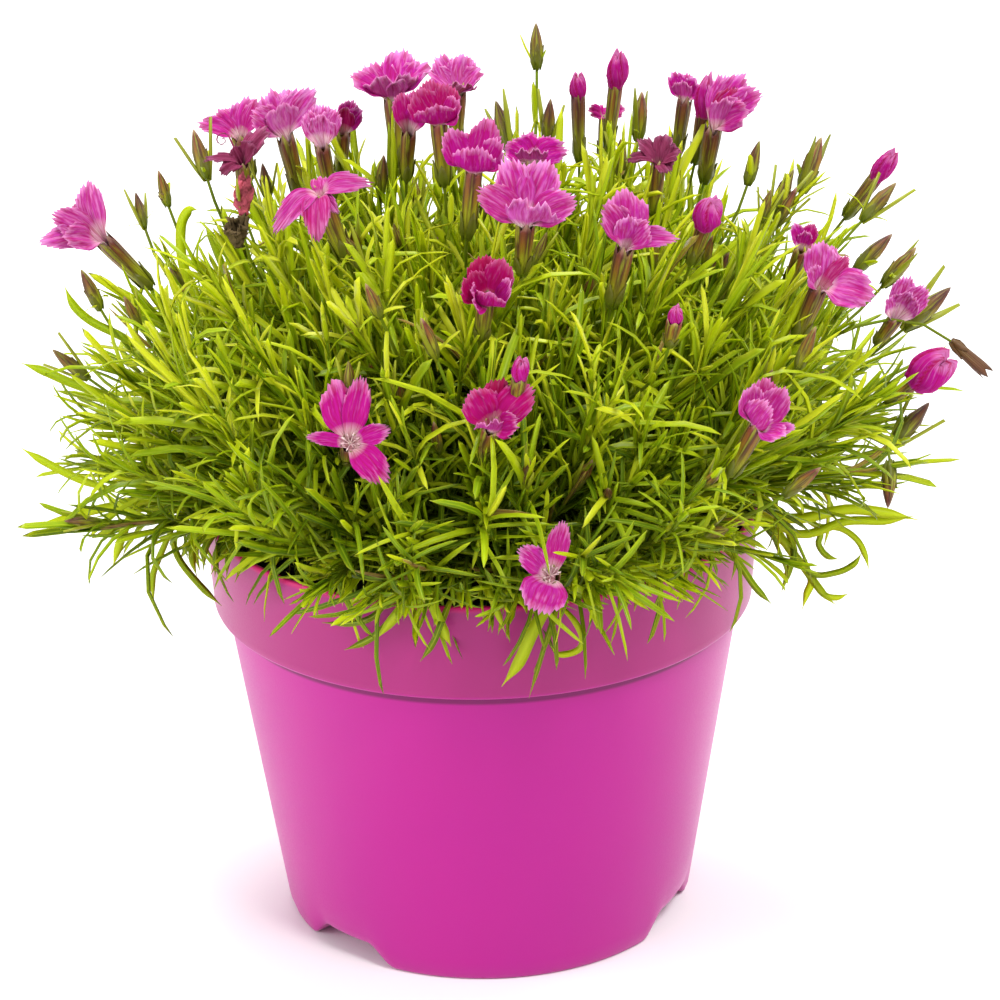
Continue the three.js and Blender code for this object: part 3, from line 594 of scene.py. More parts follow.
def leaf_green():
    """Green blades, paler at the foot and the midrib; the last shades are yellowed or dry."""
    leaf = Finish("leaf", 0.4, subsurface_weight=0.3, subsurface_scale=0.0012,
                  subsurface_radius=(0.9, 1.0, 0.15), specular_ior_level=0.16)
    right, along, _ = leaf.xyz(leaf.add("ShaderNodeUVMap", uv_map="OFBake"))
    strip = leaf.times(right, float(LEAF_SHADES))
    # the strip a leaf lies in holds its own tint with painted light and shade added; the ramp runs
    # from dark to bright green
    shade = leaf.maths("DIVIDE", leaf.maths("FLOOR", strip), float(LEAF_SHADES - 1))
    green = leaf.ramp(shade, (0.0, (0.035, 0.075, 0.002)), (0.25, (0.09, 0.17, 0.002)),
                      (0.55, (0.25, 0.37, 0.003)), (0.85, (0.46, 0.55, 0.006)),
                      (0.95, (0.60, 0.62, 0.02)), (1.0, (0.20, 0.10, 0.03)))
    off_middle = leaf.maths("ABSOLUTE", leaf.maths("SUBTRACT", leaf.maths("FRACT", strip), 0.5))
    foot = leaf.spread(along, 0.0, 0.3, 0.45, 0.0)
    rib = leaf.spread(off_middle, 0.03, 0.12, 0.35, 0.0)
    tip = leaf.spread(along, 0.93, 1.0, 0.0, 0.55)
    leaf.set(base_color=leaf.coats(green, (foot, (0.46, 0.52, 0.02)), (rib, (0.46, 0.56, 0.02)),
                                   (tip, (0.32, 0.26, 0.03))))
    return leaf.material


def calyx_skin():
    """Green at the foot and flushed purple-brown above, finely ribbed, with pale tooth tips."""
    skin = Finish("stalk_and_calyx", 0.46, specular_ior_level=0.3)
    along, round_it, ripe, bract = skin.marks("along", "round", "ripe", "bract")
    flushed = skin.ramp(along, (0.0, (0.17, 0.25, 0.004)), (0.3, (0.33, 0.31, 0.008)),
                        (0.6, (0.33, 0.15, 0.018)), (0.86, (0.25, 0.045, 0.035)),
                        (1.0, (0.62, 0.40, 0.28)))
    green = skin.ramp(along, (0.0, (0.13, 0.20, 0.005)), (0.36, (0.29, 0.36, 0.010)),
                      (0.66, (0.13, 0.055, 0.014)), (1.0, (0.035, 0.008, 0.010)))
    scale = skin.ramp(along, (0.2, (0.15, 0.20, 0.008)), (0.6, (0.10, 0.06, 0.012)),
                      (0.8, (0.05, 0.02, 0.010)))
    fold, rib = (skin.maths("SINE", skin.times(round_it, 2 * pi * count)) for count in (5, 20))
    dark = skin.times(skin.spread(fold, -0.7, 0.5, 0.0, 0.8),
                      skin.spread(along, 0.1, 0.45, 0.0, 1.0),
                      skin.spread(along, 0.84, 0.94, 1.0, 0.0))
    streak = skin.noise(skin.vector(skin.times(round_it, 14.0), skin.times(along, 1.6), ripe))
    band = skin.spread(streak, 0.5, 0.66, 0.0, 0.6)
    dry = skin.spread(ripe, 1.2, 1.9, 0.0, 0.9)
    brown = skin.coats(green, (ripe, flushed), (dark, (0.055, 0.012, 0.016)),
                       (band, (0.42, 0.46, 0.02)), (bract, scale), (dry, (0.13, 0.055, 0.022)))
    skin.set(base_color=skin.mottled(brown, (0.10, 0.03, 0.02), 0.004, 0.0005, 0.22)["Color"])
    skin.bump(rib, 0.0001, 0.4)
    return skin.material


def petal_skin(name, edge, body, throat, crimson):
    """One side of a petal: its throat, body and edge colours, with veins along it, pale flecks
    near its teeth, and crimson where the petal is deep-coloured."""
    petal = Finish(name, 0.65, subsurface_weight=0.15, subsurface_scale=0.0006,
                   subsurface_radius=(1.0, 0.25, 0.7), specular_ior_level=0.06)
    along, across, deep, faded = petal.marks("along", "across", "deep", "faded")
    times, spread = petal.times, petal.spread
    base = petal.ramp(along, (0.0, throat), (0.16, throat), (0.34, body), (0.8, body), (1.0, edge))
    streak = petal.noise(petal.vector(times(across, 18.0), times(along, 2.6), times(deep, 7.0)),
                         detail=3.0, distortion=0.6)
    x, _, z = petal.place()
    blotch = petal.noise(petal.vector(
        petal.maths("MULTIPLY_ADD", across, 16.0, times(x, 150.0)), times(along, 3.2),
        times(z, 150.0)), detail=4.0)
    washed = times(faded, spread(blotch, 0.38, 0.6, 0.35, 1.5))
    vein = spread(streak, 0.42, 0.68, 0.0, 0.66)
    plain = petal.maths("MULTIPLY_ADD", deep, -0.55, petal.maths("ADD", faded, 0.7))
    fleck = times(spread(blotch, 0.53, 0.66, 0.0, 0.7), spread(along, 0.4, 0.95, 0.22, 1.0), plain)
    petal.set(base_color=petal.coats(base, (washed, edge), (deep, crimson), (vein, crimson),
                                     (fleck, edge)))
    petal.bump(streak, 0.00016, 0.5)
    return petal.material


PLASTIC, LEAF, CALYX = pot_plastic(), leaf_green(), calyx_skin()
PEAT = plain_finish("potting_soil", 0.95, (
    (0.045, 0.028, 0.018), (0.015, 0.010, 0.007), 0.004, 0.0008, 0.9), (0.0006, 0.9))
BARK = plain_finish("woody_crown", 0.85, (
    (0.16, 0.11, 0.045), (0.05, 0.032, 0.014), 0.006, 0.0009, 0.9), (0.0005, 0.8),
    specular_ior_level=0.2)
STEM = plain_finish("stem", 0.6, (
    (0.17, 0.26, 0.006), (0.13, 0.10, 0.012), 0.012, 0.0006, 0.5), (0.00008, 0.5),
    specular_ior_level=0.15)
CREAM = plain_finish("stamens", 0.6, (
    (0.78, 0.64, 0.60), (0.60, 0.30, 0.38), 0.0016, 0.0004, 0.8))
DRIED = plain_finish("dried_petal", 0.8, (
    (0.60, 0.11, 0.16), (0.13, 0.022, 0.03), 0.0022, 0.0006, 0.95), (0.0003, 0.8),
    specular_ior_level=0.1)
FACE = petal_skin("petal_face", (0.70, 0.27, 0.57), (0.44, 0.009, 0.285), (0.80, 0.60, 0.60),
                  (0.33, 0.0004, 0.048))
BACK = petal_skin("petal_back", (0.70, 0.29, 0.56), (0.52, 0.065, 0.39), (0.82, 0.70, 0.62),
                  (0.37, 0.0015, 0.115))
WILTED = petal_skin("wilted_petal", (0.46, 0.15, 0.28), (0.33, 0.055, 0.14), (0.40, 0.16, 0.18),
                    (0.14, 0.01, 0.04))


# ------------------------------------------------------------------ pot, soil and crown

ARCH_FADE = 12  # the height where the walls no longer follow the foot's arches


def arch_rise(radius, azimuth):
    """How far the underside is raised here, in the foot's arches up to their height."""
    rise = 0.0
    for middle in FOOT["azimuths"]:
        off = radians((azimuth - middle + 180) % 360 - 180)
        if abs(off) < pi / 2:
            aside = abs(radius * sin(off))
            flank = 1 - smoothstep(FOOT["top"] / 2 - 0.4, FOOT["bottom"] / 2 + 0.6, aside)
            inward = smoothstep(FOOT["inner"] - 0.7, FOOT["inner"] + 0.7, radius * cos(off))
            rise = max(rise, flank * inward)
    return rise * FOOT["height"]


def pot_shell(steps=360):
    """The pot's outside from the middle of its base to the rim, and back down inside."""
    slope = (BODY_TOP - BASE) / LIP_HEIGHT
    flat = (0, 12, 24, 32, 35.2, 35.9, 36.6, 38.5, 42, 45, BASE - 1.5)
    outside = [(0, radius) for radius in flat]
    outside += [(0.15, BASE - 0.7), (0.7, BASE - 0.2), (1.6, BASE + 0.1)]
    outside += [(z, BASE + 0.15 + slope * z) for z in (3, 5, 7, 10, 16, 26, 40, 56, 70, 77)]
    outside += [(LIP_HEIGHT + z, radius) for z, radius in (
        (-0.8, BODY_TOP - 0.1), (-0.25, BODY_TOP), (0, BODY_TOP + 0.3), (0, LIP - 0.7),
        (0.15, LIP - 0.2), (0.6, LIP), (2, LIP + 0.05))]
    outside += [(lerp(LIP_HEIGHT, POT_HEIGHT, t), lerp(LIP, RIM, t)) for t in (0.3, 0.55, 0.8)]
    outside += [(POT_HEIGHT - 1.1, RIM), (POT_HEIGHT - 0.35, RIM - 0.1), (POT_HEIGHT, RIM - 0.4)]
    inside = [(POT_HEIGHT - z, RIM - WALL + more) for z, more in (
        (0, 0.3), (0.4, 0), (2, -0.1), (9, -0.5))]
    inside += [(LIP_HEIGHT + 5, LIP - WALL), (LIP_HEIGHT + 1, BODY_TOP - WALL),
               (LIP_HEIGHT * 0.5, lerp(BASE, BODY_TOP, 0.5) - WALL), (9, BASE - WALL),
               (7.2, BASE - WALL - 0.6), (6.8, BASE - 4), (6.8, 37.5), (6.8, 35), (2.2, 33),
               (2.2, 20), (2.2, 0)]

    def arches(k, a):
        height, radius = rows[k]
        if k >= len(outside) or height >= ARCH_FADE:
            return 0, 1
        return arch_rise(max(radius, 0.01), math.degrees(a)) * (1 - height / ARCH_FADE), 1

    rows, mould = outside + inside, Mould()
    mould.add(ring_points(rows, steps, arches), tube_faces(len(rows), steps))
    return mould.cast("nursery_pot", [PLASTIC])


def soil_heap(rings=40, steps=96):
    """The peat's uneven top, and the sides of the root ball inside the pot."""
    gap = WALL + 0.5
    reach = RIM - gap - 0.6
    sides = [(gap + 7.5, 0), (gap + 7.5, BASE - gap - 0.6), (LIP_HEIGHT - 1, BODY_TOP - gap - 0.2),
             (84, LIP - gap - 0.6)]
    rows = sides + [(SOIL_TOP - 1, reach * (1 - i / rings)) for i in range(rings + 1)]

    def lumps(k, a):
        radius = rows[k][1]
        if k < len(sides):
            return 0, 1
        spot = Vector((radius * cos(a), radius * sin(a), 0)) * 0.16
        return 1.6 * noise.fractal(spot, 1.0, 2.2, 4) + 1.6 * (1 - radius / reach), 1

    mould = Mould()
    mould.add(ring_points(rows, steps, lumps), grid_faces(len(rows), steps, closed=True))
    return mould.cast("peat_soil", [PEAT])


def soil_crumb_tree():
    """Scatters crumbs of peat over the surface it is given."""
    nodes, given, out = group(
        "Soil Crumbs", "GeometryNodeTree", dict(crumbs="Geometry"), surface="Geometry",
        crumb_size=0.0016, density=60000.0, peat="Material", seed=3)
    upward = nodes.add("FunctionNodeCompare", {
        0: nodes.xyz(nodes.add("GeometryNodeInputNormal"))[2], 1: 0.6}, operation="GREATER_THAN")
    points = nodes.add("GeometryNodeDistributePointsOnFaces", {
        "Mesh": given["Surface"], "Selection": upward, "Density": given["Density"],
        "Seed": given["Seed"]})
    crumb = nodes.add("GeometryNodeMeshIcoSphere", {
        "Radius": given["Crumb Size"], "Subdivisions": 1})
    turn, size = (nodes.add("FunctionNodeRandomValue", {0: low, 1: high, 8: seed},
                            data_type="FLOAT_VECTOR") for low, high, seed in (
        ((0, 0, 0), (6.3, 6.3, 6.3), given["Seed"]), ((0.25, 0.25, 0.2), (1.0, 0.9, 0.6), 9)))
    heap = nodes.add("GeometryNodeInstanceOnPoints", {
        "Points": points, "Instance": crumb, "Scale": size,
        "Rotation": nodes.add("FunctionNodeEulerToRotation", {0: turn})})
    nodes.link(nodes.solid(heap, given["Peat"]), out[0])
    return nodes.tree


def crown_knot(rings=14, steps=40):
    """The knotted woody crown, a low burl that every stem grows out of."""
    verts = []
    for r in range(rings + 1):
        for i in range(steps):
            way = heading(90 * r / rings, 360 * i / steps)
            spot = CROWN + way * (13.0 + 1.2 * noise.fractal(way * 2.6, 1.0, 2.0, 3))
            verts.append((spot.x, spot.y, max(spot.z, CROWN.z + 4.6)))
    mould = Mould()
    mould.add(verts, grid_faces(rings + 1, steps, closed=True, flip=True))
    return mould.cast("crown_knot", [BARK])


# ------------------------------------------------------------------ leaves

LEAF_POINTS = 24  # vertices of a leaf


def leaf_blade(name, bend, sway, twist, fold):
    """One leaf of length 1 and width 1, along +Z and curving towards -Y. bend, sway and twist
    are the angles that it turns through from its foot to its tip; fold is the depth of its
    channel."""
    stations = (0, 0.12, 0.34, 0.62, 0.88, 1.0)
    halves = (0.38, 0.46, 0.50, 0.49, 0.36, 0.0)
    place, verts, uv = Vector((0, 0, 0)), [], []
    for k, (t, half) in enumerate(zip(stations, halves)):
        lean, side = radians(bend) * t, radians(sway) * t
        way = Vector((sin(side), -sin(lean) * cos(side), cos(lean) * cos(side)))
        if k:
            place = place + way * (t - stations[k - 1])
        roll, thick = radians(twist) * t, 0.016 * (1 - 0.7 * t)
        up = Vector((0, cos(lean), sin(lean)))
        for x, y, u in ((-1, fold, 0), (0, 0, 0.5), (1, fold, 1), (0, -thick, 0.5)):
            w = half * x
            if k == len(stations) - 1:
                w, y = 0.04 * x, y * 0.1
            lift = y * (half / 0.5) if x else y
            # the width is scaled apart from the length, so a roll only tilts the edges
            verts.append(place + Vector((w, 0, 0)) + up * (lift + 0.05 * x * sin(roll) * half * 2))
            uv.append((u, 0.02 + 0.96 * t))
    mould = Mould()
    mould.add(verts, tube_faces(len(stations), 4, flip=True), uv=uv)
    return mould.cast(name, [LEAF], scale=1)


def leaf_shapes(count=12):
    """A set of leaves that differ in how they curve, for the shoots to draw from."""
    rng = random.Random(11)
    return shape_set("leaf_shapes", [
        leaf_blade(f"leaf_{i:02d}", lerp(-30, 92, (i / (count - 1)) ** 1.3),
                   rng.uniform(-48, 48), rng.uniform(-60, 60), rng.uniform(0.012, 0.03))
        for i in range(count)])


BRIGHTEST, DRY_SHARE = 0.94, 0.007  # the shade of the brightest leaf, and how many are dry


def leafy_shoot_tree(shapes):
    """Clothes stems with leaves: a pair at each node, each pair a quarter turn from the last."""
    nodes, given, out = group(
        "Leafy Shoots", "GeometryNodeTree", dict(plant="Geometry"), shoots="Geometry",
        stem_radius=0.0005, node_spacing=0.0045, leaf_length=0.019, leaf_width=0.0019,
        low_angle=1.0, tip_angle=0.2, leaf_start=0.5, leaf_end=1.1, seed=1,
        leaf_skin="Material", stem_skin="Material")
    add, maths, times, spread = nodes.add, nodes.maths, nodes.times, nodes.spread

    def chance(low, high, salt, output=1, kind="FLOAT", at=2):
        return add("FunctionNodeRandomValue", {
            at: low, at + 1: high, 8: maths("ADD", given["Seed"], float(salt))}, output,
            data_type=kind)

    def turned(rotation, axis, angle):
        turn = add("FunctionNodeAxisAngleToRotation", {"Axis": axis, "Angle": angle})
        return add("FunctionNodeRotateRotation", {0: rotation, 1: turn}, rotation_space="LOCAL")

    curve = add("GeometryNodeMeshToCurve", {0: given["Shoots"]})
    joints = add("GeometryNodeResampleCurve", {"Curve": curve, "Length": given["Node Spacing"]},
                 mode="LENGTH")
    stage, vigour = nodes.read("stage"), nodes.read("vigour")
    order = add("GeometryNodeSplineParameter", output="Index")
    upright = add("FunctionNodeAlignRotationToVector",
                  {"Vector": add("GeometryNodeInputTangent")}, axis="Z")
    bears = times(maths("GREATER_THAN", stage, given["Leaf Start"]),
                  maths("LESS_THAN", stage, given["Leaf End"]))
    place = add("GeometryNodeInputPosition")
    depth = add("ShaderNodeVectorMath", {0: place, 1: CROWN * MM}, "Value", operation="DISTANCE")
    outer = spread(depth, 0.045, 0.085, 0.0, 1.0)
    height = nodes.xyz(place)[2]
    high, slim = spread(height, 0.11, 0.165, 0.0, 1.0), spread(height, 0.095, 0.14, 0.68, 1.04)
    young = spread(stage, 0.8, 1.0, 1.0, 0.7)
    angle = spread(stage, given["Leaf Start"], 1.0, given["Low Angle"], given["Tip Angle"])
    # painted light and shade: leaves further from the crown and higher on the mound get brighter
    # shades, those deep inside darker; each leaf's own random tint is added to this
    lit = maths("ADD", times(outer, 0.14), times(high, 0.44))
    leaves = []
    for side in (0, 1):
        round_stem = maths("ADD", maths("MULTIPLY_ADD", order, pi / 2, pi * side),
                           chance(-0.5, 0.5, 10 + side))
        leaning = turned(turned(upright, (0, 0, 1), round_stem), (1, 0, 0),
                         times(angle, chance(0.6, 1.35, 20 + side)))
        length = times(given["Leaf Length"], vigour, times(young, chance(0.62, 1.2, 30 + side)))
        width = times(given["Leaf Width"], chance(0.6, 1.6, 40 + side), slim,
                      maths("POWER", vigour, 0.5))
        pick = chance(0, len(shapes.objects) - 1, 50 + side, 2, "INT", 4)
        blades = nodes.drawn(joints, shapes, pick, leaning, nodes.vector(width, length, length),
                             Selection=bears)
        own = maths("POWER", chance(0.0, 1.0, 60 + side), 1.5)
        tint = maths("MINIMUM", maths("ADD", lit, times(own, 0.70)), BRIGHTEST)
        dry = maths("GREATER_THAN", chance(0.0, 1.0, 80 + side), 1 - DRY_SHARE)
        leaves.append(nodes.stored(blades, "tint", maths("MAXIMUM", tint, dry)))
    ring = add("GeometryNodeCurvePrimitiveCircle", {
        "Resolution": 5, "Radius": given["Stem Radius"]}, mode="RADIUS")
    tube = add("GeometryNodeCurveToMesh", {
        "Curve": curve, "Profile Curve": ring, "Scale": spread(stage, 0.0, 1.0, 1.3, 0.6),
        "Fill Caps": True})
    stems = add("GeometryNodeSetMaterial", {
        0: add("GeometryNodeSetShadeSmooth", {0: tube}), "Material": given["Stem Skin"]})
    leaves = nodes.solid(nodes.joined(*leaves), given["Leaf Skin"])
    nodes.link(nodes.joined(stems, leaves), out[0])
    return nodes.tree


class Lines:
    """Stems as lines of points, each with how far along its stem it is and its vigour."""

    def __init__(self):
        self.points, self.edges, self.stage, self.vigour = [], [], [], []

    def add(self, points, vigour=1.0, stages=(0, 1)):
        start, count = len(self.points), len(points)
        self.points += [tuple(p * MM) for p in points]
        self.edges += [(start + i, start + i + 1) for i in range(count - 1)]
        self.stage += [lerp(*stages, i / (count - 1)) for i in range(count)]
        self.vigour += [vigour] * count

    def lay(self, name):
        mesh = bpy.data.meshes.new(name)
        mesh.from_pydata(self.points, self.edges, [])
        give_points(mesh, "stage", self.stage)
        give_points(mesh, "vigour", self.vigour)
        return put(name, mesh)


def curve_at(start, knee, end, t):
    """The spot at t on the curve that leaves start towards knee and comes to end from it."""
    return start * (1 - t) ** 2 + knee * 2 * t * (1 - t) + end * t * t


def arc(start, knee, end, count=9):
    return [curve_at(start, knee, end, i / (count - 1)) for i in range(count)]


front_flowers = [Vector(tip) for heads in STALKS[:FRONT_STALKS] for kind, tip, *_ in heads
                 if kind in OWN_COROLLA]


def hides_flower(spot, clear=12.0):
    """Whether leaves at this spot would stand before an open flower on the plant's front."""
    for tip in front_flowers:
        near = (spot - tip).dot(SIGHT)
        if near > -4 and (spot - tip - SIGHT * near).length < clear:
            return True
    return False


LOW_TILT = 76  # shoots that lean out further than this arch over the rim


def shoot_line(rng, tilt, azimuth):
    """A leafy shoot that leaves the crown sideways and turns upwards at the mound's surface;
    the lowest ones arch over the rim. It stops short of where it would hide a flower."""
    way = heading(tilt, azimuth)
    reach = lerp(MOUND["top"], MOUND["side"], smoothstep(0, 50, tilt)) - 17
    reach *= rng.uniform(0.74, 1.06) * (1 + 0.07 * max(way.x, 0))
    while reach > 40 and hides_flower(CROWN + way * reach + UP * 8):
        reach -= 6
    start = CROWN + way * 10
    start.z = max(start.z, CROWN.z + 6)
    if tilt < LOW_TILT:
        end = CROWN + way * reach
        stray = Vector((rng.uniform(-0.5, 0.5), rng.uniform(-0.5, 0.5), 0))
        rise = UP * rng.uniform(0.4, 1.9) * smoothstep(0, 40, tilt)
        knee = end - (way + stray + rise).normalized() * reach * 0.5
        knee.z = max(knee.z, lerp(knee.z, POT_HEIGHT + 5, smoothstep(45, 62, tilt)))
        return arc(start, knee, end)
    out = Vector((way.x, way.y, 0)).normalized()
    low = (tilt - LOW_TILT) / 20
    end = CROWN + heading(LOW_TILT, azimuth) * reach * 0.97
    end = out * lerp(Vector((end.x, end.y, 0)).length, 66, low) + UP * lerp(end.z, 110, low)
    return arc(start, out * 52 + UP * lerp(111, 117, low), end)


def rim_shoot(rng, azimuth):
    """A short shoot that closes the pot's edge from inside and leaves the rim in sight."""
    out = heading(90, azimuth)
    sunk = rng.random()  # the lowest ones end inside the rim
    end = out * lerp(59, 47, sunk) + UP * lerp(109, 99.5, sunk)
    return arc(CROWN + out * 10 + UP * 6, out * 34 + UP * lerp(113, 107, sunk), end)


def smooth_line(points, steps=5):
    """Points along a smooth line through the given ones, so many to each stretch."""
    spots = [Vector(point) for point in points]
    spots = [spots[0] * 2 - spots[1]] + spots + [spots[-1] * 2 - spots[-2]]
    line = []
    for a, b, c, d in zip(spots, spots[1:], spots[2:], spots[3:]):
        for t in (i / steps for i in range(steps)):
            line.append(b + ((c - a) * t + (a * 2 - b * 5 + c * 4 - d) * t * t
                             + (b * 3 - a - c * 3 + d) * t ** 3) / 2)
    return line + [spots[-2]]


def in_strip(strip, u):
    """Where a place across a leaf lies on the UV map, for a leaf of this shade."""
    return (strip + 0.04 + 0.92 * u) / LEAF_SHADES


def long_leaves():
    """The leaves that are laid one by one, their faces to the front."""
    mould = Mould()
    for width, shade, *points in LONG_LEAVES:
        line, strip = smooth_line(points), int(shade * (LEAF_SHADES - 3))
        last, verts, uv = len(line) - 1, [], []
        for k, spot in enumerate(line):
            t = k / last
            along = line[min(k + 1, last)] - line[max(k - 1, 0)]
            across = SIGHT.cross(along).normalized()
            face = along.cross(across).normalized()
            half = width / 2 * lerp(0.55, 1, smoothstep(0, 0.3, t))
            half *= lerp(1, 0.06, smoothstep(0.74, 1, t))
            for x, lift, u in ((-1, 0.12, 0), (0, 0, 0.5), (1, 0.12, 1), (0, -0.16, 0.5)):
                verts.append(spot + (across * x + face * lift) * half)
                uv.append((in_strip(strip, u), 0.02 + 0.96 * t))
        mould.add(verts, tube_faces(len(line), 4, flip=True), uv=uv)
    return mould.cast("long_leaves", [LEAF])


def leaf_strips(piece):
    """Gives each leaf the strip of the UV map that has its shade."""
    mesh = piece.data
    corner = row_of(mesh.loops, "vertex_index", kind=np.int32)
    # each leaf's shade value: its own random tint with painted light and shade added
    tint = row_of(mesh.attributes["tint"].data, "value")[corner]
    layer = mesh.uv_layers["OFBake"].uv
    uv = row_of(layer, "vector", 2)
    strip = np.minimum(np.floor(tint * (LEAF_SHADES - 0.8)), LEAF_SHADES - 1)
    uv[0::2] = in_strip(strip, uv[0::2])
    layer.foreach_set("vector", uv)


def thinned(piece, blossom):
    """The piece without its leaves that would grow through a petal."""
    mesh = piece.data
    spots = [v.co for v in mesh.vertices]
    sides = [tuple(side.vertices) for side in mesh.polygons]
    crossed = {sides[own][0] for own, _ in BVHTree.FromPolygons(spots, sides).overlap(blossom)}
    ends = row_of(mesh.edges, "vertices", 2, np.int32)
    body, before = np.arange(len(spots)), None
    while before is None or (body != before).any():  # until each vertex knows its body's first
        before = body.copy()
        low = np.minimum(body[ends[0::2]], body[ends[1::2]])
        np.minimum.at(body, ends[0::2], low)
        np.minimum.at(body, ends[1::2], low)
    leaf = np.bincount(body, minlength=len(spots)) == LEAF_POINTS
    doomed = {body[i] for i in crossed if leaf[body[i]]}
    shape = bmesh.new()
    shape.from_mesh(mesh)
    shape.verts.ensure_lookup_table()
    bmesh.ops.delete(shape, geom=[shape.verts[i] for i, own in enumerate(body) if own in doomed],
                     context="VERTS")
    shape.to_mesh(mesh)
    shape.free()
    return piece


def blossom_tree(pieces):
    """The petals of all pieces, to be tested against leaves."""
    spots, sides = [], []
    for piece in pieces:
        start = len(spots)
        spots += [v.co for v in piece.data.vertices]
        sides += [tuple(start + i for i in side.vertices) for side in piece.data.polygons]
    return BVHTree.FromPolygons(spots, sides)


branch_ways = [heading(tilt, turn + 360 / count * i)
               for count, tilt, turn in BRANCH_RINGS for i in range(count)]
GOLDEN_ANGLE = 137.508


def shoots_by_branch():
    """Shoots spread evenly over the mound, each with the branch whose cone it lies in, and the
    young buds that some of them end in."""
    rng, buds = random.Random(4), []
    lines = [Lines() for _ in branch_ways]
    lowest = cos(radians(95))
    for i in range(SHOOTS):
        azimuth = (i * GOLDEN_ANGLE + rng.uniform(-6, 6)) % 360
        tilt = lerp(1, lowest, (i + 0.5) / SHOOTS)
        tilt = math.degrees(math.acos(tilt)) + rng.uniform(-4, 4)
        bare = any(low < azimuth < high for low, high in RIM_BARE)
        short = bare and tilt > 75
        tilt = rng.uniform(50, 68) if bare and 68 < tilt <= 75 else min(abs(tilt), 96)
        way = heading(min(tilt, 80), azimuth)
        own = max(range(len(branch_ways)), key=lambda k: way.dot(branch_ways[k]))
        line = rim_shoot(rng, azimuth) if short else shoot_line(rng, tilt, azimuth)
        size = 0.5 if short else lerp(1.0, 0.52, smoothstep(74, 90, tilt))
        lines[own].add(line, rng.uniform(0.7, 1.2) * size)
        if i % BUDS_EVERY == 5 and tilt < LOW_TILT:
            foot, ahead = line[-1], (line[-1] - line[-2]).normalized()
            buds.append(("bud", foot + ahead * rng.uniform(7, 10), foot - ahead))
    return lines, buds


# ------------------------------------------------------------------ flower heads

# The outline of a scale, and of a leaflet beside a bud, at four stations: the height, distance out
# and half width.
LEAFLET = ((-0.05, 0.5, 0.5), (0.25, 1.3, 0.34), (0.62, 2.1, 0.22), (1.0, 2.9, 0.02))
SCALE = ((-0.03, 0.55, 0.5), (0.35, 0.98, 0.85), (0.7, 1.0, 0.55), (1.0, 1.12, 0.04))


def add_bracts(mould, count, reach, outline, seed, thick=0.12, **marks):
    """Pointed scales that clasp the foot of a calyx or a bud, or leaflets that stand beside it."""
    rng = random.Random(seed)
    for i in range(count):
        middle = 2 * pi * i / count + rng.uniform(0.1, 0.6)
        high = reach * rng.uniform(0.8, 1.15)
        verts = []
        for z, out, half in outline:
            for lift in (0.0, -thick):
                for side in (-1, 0, 1):
                    a = middle + side * half * 0.8
                    r = out + lift + 0.06 * (side == 0)
                    verts.append((r * cos(a), r * sin(a), z * high))
        faces = []
        for a, b in ((0, 1), (1, 2), (2, 5), (5, 4), (4, 3), (3, 0)):
            faces += [(p + a, p + b, p + b + 6, p + a + 6) for p in (0, 6, 12)]
        faces += [(3, 4, 1, 0), (4, 5, 2, 1), (18, 19, 22, 21), (19, 20, 23, 22)]
        mould.add(verts, faces, round=0.85,
                  **(marks or dict(along=[0.2 + 0.6 * v[2] for v in verts], bract=1.0)))


def add_body(mould, profile, steps, lobes, length=1.0):
    """The closed body of a calyx or a bud, with the marks of how far up and round it is."""
    verts = ring_points(profile, steps, lobes)
    mould.add(verts, grid_faces(len(profile), steps, closed=True),
              along=[v[2] / length for v in verts], bract=0.0,
              round=[(i % steps) / steps for i in range(len(verts))])


def calyx_shape(name):
    """A tubular calyx, 1 long and 1 in radius, with five teeth round its mouth."""
    profile = [(-0.02, 0.0), (0.0, 0.36), (0.05, 0.62), (0.16, 0.76), (0.36, 0.86), (0.6, 0.94),
               (0.8, 1.0), (0.9, 1.0), (0.99, 0.96), (0.9, 0.84), (0.8, 0.7), (0.8, 0.0)]

    def teeth(k, a):
        point = abs(((a / (2 * pi) * 5) % 1) - 0.5) * 2
        return (0.17 * point - 0.05 if k in (8, 9) else 0.0), 1 + 0.03 * cos(5 * a)

    mould = Mould()
    add_body(mould, profile, 30, teeth, 1.1)
    add_bracts(mould, 4, 0.38, SCALE, 5)
    return mould.cast(name, [CALYX], scale=1)


def bud_shape(name, belly, point, leaflets):
    """A closed bud, 1 long and 1 in radius: five folded teeth drawn to a point."""
    profile = [(-0.02, 0.0), (0.0, 0.34), (0.06, 0.6), (0.18, 0.84), (belly, 1.0),
               (belly + 0.18, 0.94), (0.72, 0.7), (0.86, 0.42), (0.95, point), (1.0, 0.0)]
    mould = Mould()
    add_body(mould, profile, 15, lambda k, a: (0, 1 + (0.07 if k > 4 else 0.02) * cos(5 * a)))
    add_bracts(mould, 4, 0.5, SCALE, 8)
    add_bracts(mould, leaflets, 1.1, LEAFLET, 12, thick=0.38, along=0.16, bract=0.0)
    return mould.cast(name, [CALYX], scale=1)


def head_shapes():
    return shape_set("head_shapes", [
        calyx_shape("head_0_calyx"), bud_shape("head_1_bud", 0.36, 0.2, 0),
        bud_shape("head_2_bud", 0.44, 0.22, 2), bud_shape("head_3_bud", 0.38, 0.2, 2)])


